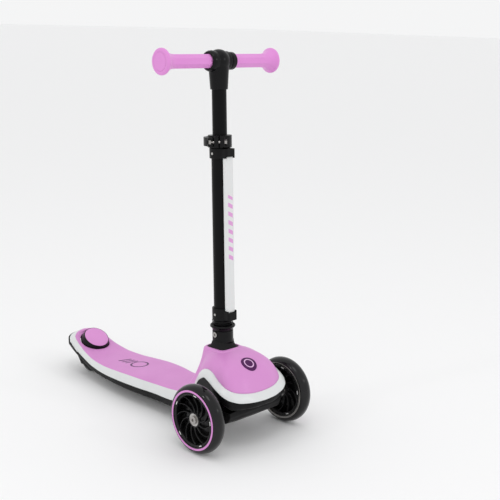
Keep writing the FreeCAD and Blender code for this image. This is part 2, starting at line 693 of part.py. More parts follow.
def lock_sleeve():
    """Sleeve with a rolled lip, lifted to let the stem fold."""
    bore, low, high, lip = collar_r + run_fit, sleeve_base, sleeve_top, sleeve_lip_r
    pts = [(bore, low), (18.4, low), (18.8, low + 3.5), (20.6, low + 5.4), (lip, low + 6.4), (lip, high - 1),
           (lip - 1.2, high), (20.2, high), (19.8, low + 3), (bore, low + 3)]
    face = Part.Face(Part.makePolygon([Vector(r, 0, z) for r, z in pts + pts[:1]]))
    return face.revolve(Vector(0, 0, 0), AZ, 360)


def strap(low, high, front_low, front_high):
    """Bracket: a band round the lower tube with a forward socket that holds one end of the light bar."""
    band = rod(lower_tube_r + bracket_t, high - low, Vector(0, 0, low))
    nose = box(-bar_half - 2, bar_half + 2, -bracket_front, -6, front_low, front_high)
    nose = nose.makeFillet(4, [e for e in nose.Edges if abs(e.BoundBox.YMax + bracket_front) < 0.01
                               and e.BoundBox.ZLength > 1])
    bracket = band.fuse(nose).cut(rod(lower_tube_r, 60, Vector(0, 0, low - 10)))
    bracket = bracket.cut(box(-bar_half - 0.1, bar_half + 0.1, -40, -bar_back + 0.1, bar_low, bar_high))
    return bracket.cut(rod(screw_head_r, 4, Vector(screw_seat, 0, (low + high) / 2), -AX))


def light_bar():
    bar = box(-bar_half, bar_half, -bar_front, -bar_back, bar_low, bar_high)
    front_edges = [e for e in bar.Edges if abs(e.BoundBox.YMax + bar_front) < 0.01 and e.BoundBox.ZLength > 9]
    bar = bar.makeFillet(5, front_edges)
    room = box(-bar_half + 2, bar_half - 2, -bar_front + 2.2, -bar_back + 1, bar_low + 2, bar_high - 2)
    return bar.cut(room)


def clamp_turn(shape):
    shape.rotate(Vector(0, 0, 0), AZ, -clamp_angle)
    return shape


def clamp():
    """Split collar with ears, its cross bolt and the cam lever that wraps round it."""
    low, high = clamp_low, clamp_high
    body = rod(clamp_r, high - low, Vector(0, 0, low))
    ears = box(-9, 9, -27, -10, low + 2, high - 2)
    body = body.fuse(ears).cut(rod(lower_tube_r, tube_top - low, Vector(0, 0, low)))
    body = body.cut(rod(upper_tube_r + 0.1, 60, Vector(0, 0, low)))
    body = body.cut(box(-1.2, 1.2, -40, -8, low - 1, high + 1))
    mid = (low + high) / 2
    body = body.cut(rod(2.6, 60, Vector(-30, lever_pin_y, mid), AX))
    add("clamp_collar", at_stem(clamp_turn(body)))
    bolt = rod(2.5, 9 - lever_pin_x, Vector(lever_pin_x, lever_pin_y, mid), AX)
    bolt = bolt.fuse(hexagon(9, 4, Vector(9, lever_pin_y, mid), AX))
    bolt = bolt.fuse(rod(2.5, 13, Vector(lever_pin_x, lever_pin_y, mid - 6.5), AZ))
    add("clamp_bolt", at_stem(clamp_turn(bolt)))
    cam = rod(5.6, 15, Vector(lever_pin_x + 0.5, lever_pin_y, mid - 7.5), AZ)
    outer = ring(clamp_r + 7.4, clamp_r + 2.6, 15, Vector(0, 0, mid - 7.5))
    sector = Part.makeCylinder(40, 15, Vector(0, 0, mid - 7.5), AZ, 122)
    sector.rotate(Vector(0, 0, 0), AZ, 108)
    lever = outer.common(sector).fuse(cam)
    lever = lever.cut(box(-28, 20, -40, lever_pin_y + 3.2, mid - 3.2, mid + 3.2))
    lever = lever.cut(rod(2.5 + run_fit, 40, Vector(lever_pin_x, lever_pin_y, mid - 20)))
    add("clamp_lever", at_stem(clamp_turn(largest(lever))))


def t_head():
    socket = Part.makeCone(15.0, 18.0, bar_height - head_low, Vector(0, 0, head_low))
    cross = rod(16.6, 2 * 17.5, Vector(-17.5, 0, bar_height), AX)
    dome = Part.makeSphere(19.6, Vector(0, 0, bar_height))
    body = socket.multiFuse([cross, dome])
    body = body.cut(rod(upper_tube_r, bar_height - handle_r - 1 - head_low, Vector(0, 0, head_low)))
    return body.cut(rod(handle_r, 80, Vector(-40, 0, bar_height), AX))


def grip(side, start):
    """Eight-sided grip with a mushroom end."""
    r = grip_r / math.cos(math.radians(22.5))
    pts = [Vector(0, r * math.cos(math.radians(22.5 + 45 * i)), r * math.sin(math.radians(22.5 + 45 * i)))
           for i in range(9)]
    body = Part.Face(Part.makePolygon(pts)).extrude(Vector(cap_face - cap_thick - start, 0, 0))
    body.translate(Vector(start, 0, 0))
    inner = cap_face - cap_thick
    recess_r, recess = end_disc_r + 0.2, cap_face - end_disc_in
    prof = [(inner - 1, 0), (inner - 1, grip_r - 1), (inner + 2.2, cap_r - 3.2), (inner + 4.2, cap_r),
            (cap_face - 2, cap_r), (cap_face, cap_r - 2), (cap_face, recess_r), (recess, recess_r), (recess, 0)]
    half = Part.Face(Part.makePolygon([Vector(x, 0, q) for x, q in prof + prof[:1]]))
    cap = half.revolve(Vector(0, 0, 0), AX, 360)
    body = body.fuse(cap).cut(rod(handle_r, cap_face - 4 - start, Vector(start, 0, 0), AX))
    if side < 0:
        body = body.mirror(Vector(0, 0, 0), AX)
    body.translate(Vector(0, 0, bar_height))
    return body


def handlebar():
    foot = clamp_high - insert_depth
    tube = ring(upper_tube_r, upper_tube_r - tube_wall, bar_height - handle_r - 1 - foot, Vector(0, 0, foot))
    add("upper_tube", at_stem(tube))
    add("t_head", at_stem(t_head()))
    reach = cap_face - 4.0
    add("bar_tube", at_stem(ring(handle_r, handle_r - 1.5, 2 * reach, Vector(-reach, 0, bar_height), AX)))
    add("grip_left", at_stem(grip(1, grip_start + grip_gap_left)))
    add("grip_right", at_stem(grip(-1, grip_start)))
    collar = ring(10.4, handle_r, grip_gap_left, Vector(grip_start, 0, bar_height), AX)
    add("grip_collar", at_stem(collar))
    discs = [rod(end_disc_r, 1.0, Vector(s * (cap_face - end_disc_in), 0, bar_height), Vector(s, 0, 0))
             for s in (-1, 1)]
    add("bar_ends", at_stem(Part.makeCompound(discs)))


def stem():
    add("fold_head", at_stem(fold_head()))
    add("fold_bolt", at_stem(fold_bolt()))
    add("lock_sleeve", at_stem(lock_sleeve()))
    spring_top = tube_base + 0.3
    low = sleeve_base + 3
    pitch = (spring_top - low - 2.0) / 3
    turns = [Part.makeTorus(18.0, 0.8, Vector(0, 0, low + 1.0 + pitch * i)) for i in range(4)]
    add("lock_spring", at_stem(Part.makeCompound(turns)))
    tube = ring(lower_tube_r, upper_tube_r + 0.1, tube_top - tube_base, Vector(0, 0, tube_base))
    tube = tube.cut(box(-1, 1, -20, 0, tube_top - 25, tube_top + 1))
    add("lower_tube", at_stem(tube))
    add("lower_bracket", at_stem(strap(*lower_band, tube_base + 2.5, bar_low + 3)))
    add("upper_bracket", at_stem(strap(*upper_band, bar_high - 3, clamp_low - 1)))
    screws = []
    for low, high in (lower_band, upper_band):
        screws.append(rod(screw_head_r, 2.2, Vector(screw_seat, 0, (low + high) / 2), -AX))
    add("bracket_screws", at_stem(Part.makeCompound(screws)))
    add("stem_light_bar", at_stem(light_bar()))
    board = box(-5.5, 5.5, -bar_back - 1.4, -bar_back, bar_low + 4, bar_high - 4)
    leds = [box(-2.5, 2.5, -bar_back - 3.2, -bar_back - 1.4, bar_low + 12 + 27 * i, bar_low + 17 + 27 * i)
            for i in range(10)]
    add("stem_led_board", at_stem(board.multiFuse(leds)))
    clamp()
    handlebar()


def main():
    add("deck_base", deck_base())
    add("deck_top", deck_top())
    add("deck_screws", *deck_screws())
    add("deck_light_strip", deck_light_strip())
    add("led_boards", *led_boards())
    battery_parts()
    add("nose_cover", nose_cover())
    add("nose_light_strip", nose_light_strip())
    add("nose_tray", nose_tray())
    add("nose_badge", nose_badge())
    add("neck_boot", neck_boot())
    add("head_frame", head_frame())
    add("frame_bolts", *frame_bolts())
    add("kingpin", *kingpin())
    add("kingpin_bushes", *kingpin_bushes())
    add("truck_beam", truck_beam())
    add("tilt_springs", *tilt_springs())
    front_wheel("left", 1)
    front_wheel("right", -1)
    rear_wheel()
    brake()
    stem()
    os.makedirs("parts", exist_ok=True)
    for name, shape in parts.items():
        shape = shape.copy()
        shape.translate(Vector(0, -centre_y, 0))
        shape.exportStep("parts/" + name + ".step")
        if not shape.isValid():
            print("not valid:", name)
    print(len(parts), "nodes")


main()
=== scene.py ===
import json
import math
import bpy
import bmesh
import numpy as np
from mathutils import Matrix, Vector


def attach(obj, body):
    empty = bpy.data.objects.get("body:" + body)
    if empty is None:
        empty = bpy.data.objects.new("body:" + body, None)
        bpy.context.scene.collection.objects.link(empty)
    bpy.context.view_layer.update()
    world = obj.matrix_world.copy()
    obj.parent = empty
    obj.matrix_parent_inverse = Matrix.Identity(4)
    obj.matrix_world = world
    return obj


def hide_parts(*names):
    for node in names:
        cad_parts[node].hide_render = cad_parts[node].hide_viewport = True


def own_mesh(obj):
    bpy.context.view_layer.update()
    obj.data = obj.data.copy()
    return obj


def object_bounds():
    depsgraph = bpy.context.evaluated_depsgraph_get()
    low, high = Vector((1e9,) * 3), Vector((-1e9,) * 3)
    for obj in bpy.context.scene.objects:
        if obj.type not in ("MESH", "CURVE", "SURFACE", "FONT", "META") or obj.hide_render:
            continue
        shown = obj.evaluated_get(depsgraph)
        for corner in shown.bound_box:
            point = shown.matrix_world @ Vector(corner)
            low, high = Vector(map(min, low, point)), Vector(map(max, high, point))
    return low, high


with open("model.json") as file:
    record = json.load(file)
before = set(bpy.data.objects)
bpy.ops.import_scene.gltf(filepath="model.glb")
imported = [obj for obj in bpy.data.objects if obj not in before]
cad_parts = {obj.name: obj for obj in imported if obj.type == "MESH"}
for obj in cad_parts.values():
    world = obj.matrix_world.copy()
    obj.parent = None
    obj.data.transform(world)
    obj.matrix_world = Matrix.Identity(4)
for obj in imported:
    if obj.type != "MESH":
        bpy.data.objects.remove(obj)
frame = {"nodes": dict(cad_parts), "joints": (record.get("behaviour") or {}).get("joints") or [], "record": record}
cadBox = [list(corner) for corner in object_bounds()]
joints = {joint["name"]: joint for joint in frame["joints"]}
mm = 0.001
weld = 2e-6  # points of a new piece nearer than this, in metres, are one
sharpAbove = 50.0  # edges of a tube that turn by more degrees than this stay crisp
axle = np.array([0.0, joints["left_wheel_spin"]["pos_m"][1], 0.0])  # middle of the front axle, on the floor
foldPin = np.array(joints["stem_fold"]["pos_m"])
stemUp = np.array(joints["sleeve_lift"]["axis"])
stemBack = np.array([0.0, stemUp[2], -stemUp[1]])


def place(points):
    # millimetres from the front axle's middle to metres in the model's frame
    return np.asarray(points, float) * mm + axle


def placeStem(x, back, height):
    # millimetres beside the stem: x, back from its line, height above the fold pin
    x, back, height = np.broadcast_arrays(x, back, height)
    side = np.stack([x, np.zeros_like(x), np.zeros_like(x)], -1) * mm
    return foldPin + side + back[..., None] * mm * stemBack + height[..., None] * mm * stemUp


def smoothLine(points, count):
    # Catmull-Rom curve through the points, read off at even steps of its length
    p = np.asarray(points, float)
    ends, spans = np.vstack([2 * p[:1] - p[1:2], p, 2 * p[-1:] - p[-2:-1]]), len(p) - 1
    u = np.linspace(0, spans, spans * 24 + 1)
    i = np.minimum(u.astype(int), spans - 1)
    t = (u - i)[:, None]
    a, b, c, d = ends[i], ends[i + 1], ends[i + 2], ends[i + 3]
    line = 0.5 * (2 * b + (c - a) * t + (2 * a - 5 * b + 4 * c - d) * t ** 2
                  + (3 * b - a - 3 * c + d) * t ** 3)
    run = np.r_[0, np.cumsum(np.linalg.norm(np.diff(line, axis=0), axis=1))]
    s = np.linspace(0, run[-1], count)
    return np.stack([np.interp(s, run, line[:, k]) for k in range(p.shape[1])], 1)


def roundedPath(points, radius, steps=5):
    # polyline of (a, b) with each inner corner replaced by a quadratic Bezier cut back by the radius
    p = np.asarray(points, float)
    out = [p[0]]
    t = np.linspace(0, 1, steps)[:, None]
    for before, corner, after in zip(p, p[1:], p[2:]):
        a, b = before - corner, after - corner
        la, lb = np.linalg.norm(a), np.linalg.norm(b)
        cut = min(radius, 0.48 * la, 0.48 * lb)
        start, end = corner + a / la * cut, corner + b / lb * cut
        out.extend((1 - t) ** 2 * start + 2 * t * (1 - t) * corner + t ** 2 * end)
    out.append(p[-1])
    return np.array(out)


def fullTurn(count):
    # even angles all the way round
    return np.linspace(0, 2 * np.pi, count, endpoint=False)


def turned(profile, base, direction, around=96):
    # profile of (radius, along) in millimetres, turned about a line from base along direction
    along = np.asarray(direction, float) / np.linalg.norm(direction)
    u = np.cross(along, [0, 0, 1.0] if abs(along[2]) < 0.9 else [1.0, 0, 0])
    u /= np.linalg.norm(u)
    v = np.cross(along, u)
    angle = fullTurn(around)[None, :, None]
    radius, height = (np.asarray(profile, float)[:, k][:, None, None] * mm for k in (0, 1))
    return np.asarray(base, float) + radius * (np.cos(angle) * u + np.sin(angle) * v) + height * along


def quadCorners(rows, columns, loopRows, loopColumns):
    # the four corners of every quad between neighbouring points of a grid; a loop joins the last to the first
    r = np.arange(rows if loopRows else rows - 1)[:, None]
    c = np.arange(columns if loopColumns else columns - 1)[None, :]
    nextR, nextC = (r + 1) % rows, (c + 1) % columns
    corners = [r * columns + c, r * columns + nextC, nextR * columns + nextC, nextR * columns + c]
    return np.stack(corners, -1).reshape(-1, 4)


def handOver(piece, body, stands=None):
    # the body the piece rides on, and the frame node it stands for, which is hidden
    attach(piece, body)
    if stands:
        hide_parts(stands)
    return piece


def linked(name, data):
    # a new object in the scene
    made = bpy.data.objects.new(name, data)
    bpy.context.scene.collection.objects.link(made)
    return made


def meshPiece(name, points, faces, body, slot, surface, stands=None, crisp=False):
    # doubled points welded, faces turned outwards, shaded smooth
    mesh = bpy.data.meshes.new(name)
    mesh.from_pydata(np.asarray(points).tolist(), [], faces)
    shape = bmesh.new()
    shape.from_mesh(mesh)
    bmesh.ops.remove_doubles(shape, verts=shape.verts, dist=weld)
    if not crisp:
        bmesh.ops.dissolve_degenerate(shape, dist=1e-7, edges=shape.edges)
    bmesh.ops.recalc_face_normals(shape, faces=shape.faces)
    shape.to_mesh(mesh)
    shape.free()
    mesh.polygons.foreach_set("use_smooth", [True] * len(mesh.polygons))
    if crisp:
        mesh.set_sharp_from_angle(angle=math.radians(sharpAbove))
    mesh.materials.append(finishes[surface])
    return handOver(linked(name, mesh), body, stands)


def gridPiece(name, grid, body, slot, surface, stands=None, loops=(False, False), drop=None):
    # one surface through a grid of points; quads whose corners are all marked in drop are left out
    grid = np.asarray(grid, float)
    quads = quadCorners(*grid.shape[:2], *loops)
    if drop is not None:
        quads = quads[~drop.reshape(-1)[quads].all(axis=1)]
    return meshPiece(name, grid.reshape(-1, 3), quads.tolist(), body, slot, surface, stands)


def turnedPiece(name, profile, base, direction, body, slot, surface, stands=None, around=96):
    # a closed profile turned all the way round
    grid = turned(profile, base, direction, around)
    return gridPiece(name, grid, body, slot, surface, stands, (True, True))


def tubePiece(name, grid, body, slot, surface, stands=None):
    # a tube of closed sections, each end filled by a fan about the middle of its section
    rows, columns = grid.shape[:2]
    points = np.vstack([grid.reshape(-1, 3), grid[0].mean(0), grid[-1].mean(0)])
    k = np.arange(columns)
    faces = quadCorners(rows, columns, False, True).tolist()
    for middle, row in ((rows * columns, 0), (rows * columns + 1, rows - 1)):
        fan = [np.full(columns, middle), row * columns + k, row * columns + (k + 1) % columns]
        faces += np.stack(fan, 1).tolist()
    return meshPiece(name, points, faces, body, slot, surface, stands, crisp=True)


def joined(parts):
    # several point grids as one list of points and faces; each part is a grid and its loops
    points, faces, start = [], [], 0
    for grid, loops in parts:
        faces.append(quadCorners(*grid.shape[:2], *loops) + start)
        points.append(grid.reshape(-1, 3))
        start += len(points[-1])
    return np.vstack(points), np.vstack(faces).tolist()


def thicken(piece, thickness):
    # a wall of this many millimetres, grown inwards
    wall = piece.modifiers.new("wall", "SOLIDIFY")
    wall.thickness = thickness * mm
    wall.offset = -1


def softened(name, source, surface, voxel, passes):
    # the frame node's own shape on an even mesh, relaxed so that its edges round as moulding leaves them
    copy = frame["nodes"][source].data.copy()
    shape = bmesh.new()
    shape.from_mesh(copy)
    bmesh.ops.remove_doubles(shape, verts=shape.verts, dist=1e-6)
    shape.to_mesh(copy)
    shape.free()
    piece = linked(name, copy)
    remesh = piece.modifiers.new("even", "REMESH")
    remesh.mode = "VOXEL"
    remesh.voxel_size = voxel * mm
    relax = piece.modifiers.new("relax", "SMOOTH")
    relax.factor = 0.5
    relax.iterations = passes
    graph = bpy.context.evaluated_depsgraph_get()
    mesh = bpy.data.meshes.new_from_object(piece.evaluated_get(graph))
    piece.modifiers.clear()
    piece.data = mesh
    mesh.materials.clear()
    mesh.materials.append(finishes[surface])
    mesh.polygons.foreach_set("use_smooth", [True] * len(mesh.polygons))
    bodies = frame["record"]["behaviour"]["bodies"]
    return handOver(piece, next(b for b, nodes in bodies.items() if source in nodes), source)


# nodes of a shader tree
def effect(name, inputs, outputs):
    # an empty group with named float inputs and outputs
    tree = bpy.data.node_groups.new(name, "ShaderNodeTree")
    for label, value in inputs.items():
        tree.interface.new_socket(label, in_out="INPUT", socket_type="NodeSocketFloat").default_value = value
    for label in outputs:
        tree.interface.new_socket(label, in_out="OUTPUT", socket_type="NodeSocketFloat")
    return tree, tree.nodes.new("NodeGroupInput").outputs, tree.nodes.new("NodeGroupOutput").inputs


def node(tree, kind, links=(), **values):
    made = tree.nodes.new(kind)
    for key, value in values.items():
        setattr(made, key, value)
    for socket, source in links:
        if hasattr(source, "node"):
            tree.links.new(source, made.inputs[socket])
        else:
            made.inputs[socket].default_value = source
    return made


def mathNode(tree, operation, *values):
    return node(tree, "ShaderNodeMath", enumerate(values), operation=operation).outputs[0]


def ramp(tree, value, low, high):
    # 0 at low, 1 at high
    links = [("Value", value), ("From Min", low), ("From Max", high)]
    return node(tree, "ShaderNodeMapRange", links).outputs[0]


def noise(tree, vector, scale, detail, rough=0.5):
    return node(tree, "ShaderNodeTexNoise", [("Vector", vector), ("Scale", scale), ("Detail", detail),
                                             ("Roughness", rough)]).outputs["Fac"]


def objectPoint(tree):
    return node(tree, "ShaderNodeTexCoord").outputs["Object"]


def colourMix(tree, mask, first, second):
    return node(tree, "ShaderNodeMix", [(0, mask), (6, first), (7, second)], data_type="RGBA").outputs[2]


# effects that the finishes share
def mouldedGrain():
    # fine spark-eroded skin: small noise plus Ripple times a broad one
    tree, given, out = effect("mouldedGrain", {"Scale": 1500.0, "Ripple": 0.25}, ["Height"])
    at = objectPoint(tree)
    fine = noise(tree, at, given["Scale"], 2.0, 0.6)
    broad = mathNode(tree, "MULTIPLY", noise(tree, at, 55.0, 1.0), given["Ripple"])
    tree.links.new(mathNode(tree, "ADD", fine, broad), out["Height"])
    return tree


def edgeWear():
    # rubbed edges: where the surface turns sharply outwards, broken up by noise
    tree, given, out = effect("edgeWear", {"Reach": 0.56, "Amount": 0.5}, ["Mask"])
    sharp = node(tree, "ShaderNodeNewGeometry").outputs["Pointiness"]
    rubbed = ramp(tree, sharp, given["Reach"], mathNode(tree, "ADD", given["Reach"], 0.09))
    patchy = ramp(tree, noise(tree, objectPoint(tree), 260.0, 3.0), 0.42, 0.66)
    both = mathNode(tree, "MULTIPLY", rubbed, patchy)
    tree.links.new(mathNode(tree, "MULTIPLY", both, given["Amount"]), out["Mask"])
    return tree


def handlingMarks():
    # hairline scuffs: long thin noise for the roughness, and a soft cloud for the tone
    tree, given, out = effect("handlingMarks", {"Scale": 90.0, "Amount": 0.3}, ["Mask", "Tone"])
    at = objectPoint(tree)
    stretched = node(tree, "ShaderNodeMapping", [("Vector", at), ("Rotation", (0.3, 0.5, 0.7)),
                                                 ("Scale", (1, 14, 6))]).outputs[0]
    thin = ramp(tree, noise(tree, stretched, given["Scale"], 4.0, 0.7), 0.6, 0.72)
    tree.links.new(mathNode(tree, "MULTIPLY", thin, given["Amount"]), out["Mask"])
    tree.links.new(noise(tree, at, 22.0, 3.0), out["Tone"])
    return tree


def roadDust():
    # dust that gathers near the floor and fades out with height
    tree, given, out = effect("roadDust", {"Height": 0.09, "Amount": 0.25}, ["Mask"])
    at = objectPoint(tree)
    low = ramp(tree, node(tree, "ShaderNodeSeparateXYZ", [(0, at)]).outputs["Z"], given["Height"], 0.0)
    patchy = ramp(tree, noise(tree, at, 120.0, 5.0, 0.65), 0.4, 0.75)
    both = mathNode(tree, "MULTIPLY", low, patchy)
    tree.links.new(mathNode(tree, "MULTIPLY", both, given["Amount"]), out["Mask"])
    return tree


effects = {made.name: made for made in (mouldedGrain(), edgeWear(), handlingMarks(), roadDust())}
dustColour = (0.30, 0.27, 0.24, 1)


def finish(name, colour, shade, rough, grain=1500.0, depth=0.00002, wear=0.4, wearColour=None, dust=0.2,
           metallic=0.0, coat=0.0, coatRough=0.1, mark=None, markColour=None, sheen=0.0, scatter=0.0,
           specular=0.5, scuffs=0.3):
    # tone between colour and shade, scuffs in the roughness, rubbed edges, dust low down and a fine bump;
    # mark is a function that makes a mask, painted in markColour
    material = bpy.data.materials.new(name)
    material.use_nodes = True
    tree = material.node_tree
    shader = tree.nodes["Principled BSDF"]

    def shared(group, **values):
        return node(tree, "ShaderNodeGroup", values.items(), node_tree=effects[group]).outputs

    marks, rubbed = shared("handlingMarks", Amount=scuffs), shared("edgeWear", Amount=wear)
    dusty, skin = shared("roadDust", Amount=dust), shared("mouldedGrain", Scale=grain)
    tone = colourMix(tree, marks["Tone"], (*colour, 1), (*shade, 1))
    if mark is not None:
        tone = colourMix(tree, mark(tree), tone, (*markColour, 1))
    worn = wearColour or tuple(min(1.0, c * 1.15 + 0.03) for c in colour)
    tone = colourMix(tree, rubbed["Mask"], tone, (*worn, 1))
    tree.links.new(colourMix(tree, dusty["Mask"], tone, dustColour), shader.inputs["Base Color"])
    uneven = node(tree, "ShaderNodeMapRange", [("Value", marks["Tone"]), ("To Min", rough - 0.05),
                                               ("To Max", rough + 0.06)]).outputs[0]
    scuffed = node(tree, "ShaderNodeMath", [(0, uneven), (1, marks["Mask"])], operation="ADD", use_clamp=True)
    tree.links.new(scuffed.outputs[0], shader.inputs["Roughness"])
    bump = node(tree, "ShaderNodeBump", [("Height", skin["Height"]), ("Distance", depth), ("Strength", 0.6)])
    tree.links.new(bump.outputs[0], shader.inputs["Normal"])
    fixed = {"Metallic": metallic, "Coat Weight": coat, "Coat Roughness": coatRough, "Sheen Weight": sheen,
             "Specular IOR Level": specular, "Subsurface Weight": scatter, "Subsurface Scale": 0.5,
             "Subsurface Radius": (0.004, 0.003, 0.003)}
    for label, value in fixed.items():
        shader.inputs[label].default_value = value
    return material


# plain generic decoration, in metres on the piece's own Object coordinates
deckMark = {"centre": (0.0, axle[1] + 0.290), "radius": 0.0165, "line": 0.0038, "above": 0.04, "slant": 0.35,
            "first": 0.025, "pitch": 0.0105, "width": 0.005, "count": 3, "half": 0.0125}
badgeMark = {"middle": tuple(place([0, -12.9, 137.5])), "radius": 0.0085, "line": 0.0021}
dashMark = {"first": 0.139, "pitch": 0.015, "width": 0.0072, "low": 0.131, "high": 0.246, "half": 0.0052,
            "slant": 0.5}


def band(tree, value, middle, width):
    # 1 where the value is within half the width of the middle
    away = mathNode(tree, "ABSOLUTE", mathNode(tree, "SUBTRACT", value, middle))
    return mathNode(tree, "LESS_THAN", away, width / 2)


def deckDecoration(tree):
    # a ring where the distance to its middle is the radius, and slanted bars behind it
    s = deckMark
    split = node(tree, "ShaderNodeSeparateXYZ", [(0, objectPoint(tree))]).outputs
    x = mathNode(tree, "SUBTRACT", split["X"], s["centre"][0])
    y = mathNode(tree, "SUBTRACT", split["Y"], s["centre"][1])
    squares = [mathNode(tree, "MULTIPLY", side, side) for side in (x, y)]
    ring = band(tree, mathNode(tree, "SQRT", mathNode(tree, "ADD", *squares)), s["radius"], s["line"])
    slanted = mathNode(tree, "ADD", y, mathNode(tree, "MULTIPLY", x, s["slant"]))
    step = mathNode(tree, "PINGPONG", mathNode(tree, "SUBTRACT", slanted, s["first"]), s["pitch"] / 2)
    stripe = mathNode(tree, "LESS_THAN", step, s["width"] / 2)
    after = mathNode(tree, "GREATER_THAN", slanted, s["first"] - s["width"] / 2)
    last = s["first"] + s["pitch"] * (s["count"] - 1) + s["width"] / 2
    before = mathNode(tree, "LESS_THAN", slanted, last)
    high = mathNode(tree, "LESS_THAN", mathNode(tree, "ABSOLUTE", x), s["half"])
    row = mathNode(tree, "MULTIPLY", mathNode(tree, "MULTIPLY", stripe, after),
                   mathNode(tree, "MULTIPLY", before, high))
    up = mathNode(tree, "GREATER_THAN", split["Z"], s["above"])
    return mathNode(tree, "MULTIPLY", mathNode(tree, "MAXIMUM", ring, row), up)


def badgeRing(tree):
    # a ring worked out from the distance to the badge's middle
    away = node(tree, "ShaderNodeVectorMath", [(0, objectPoint(tree)), (1, badgeMark["middle"])],
                operation="DISTANCE").outputs["Value"]
    return band(tree, away, badgeMark["radius"], badgeMark["line"])


def stemDashes(tree):
    # slanted dashes up the light bar: the height along the stem plus a share of the distance sideways
    s = dashMark
    offset = node(tree, "ShaderNodeVectorMath", [(0, objectPoint(tree)), (1, tuple(foldPin))],
                  operation="SUBTRACT").outputs[0]
    height = node(tree, "ShaderNodeVectorMath", [(0, offset), (1, tuple(stemUp))],
                  operation="DOT_PRODUCT").outputs["Value"]
    side = node(tree, "ShaderNodeSeparateXYZ", [(0, offset)]).outputs["X"]
    slanted = mathNode(tree, "ADD", height, mathNode(tree, "MULTIPLY", side, s["slant"]))
    step = mathNode(tree, "PINGPONG", mathNode(tree, "SUBTRACT", slanted, s["first"]), s["pitch"] / 2)
    dash = mathNode(tree, "LESS_THAN", step, s["width"] / 2)
    inside = mathNode(tree, "MULTIPLY", mathNode(tree, "GREATER_THAN", slanted, s["low"]),
                      mathNode(tree, "LESS_THAN", slanted, s["high"]))
    narrow = mathNode(tree, "LESS_THAN", mathNode(tree, "ABSOLUTE", side), s["half"])
    return mathNode(tree, "MULTIPLY", mathNode(tree, "MULTIPLY", dash, inside), narrow)


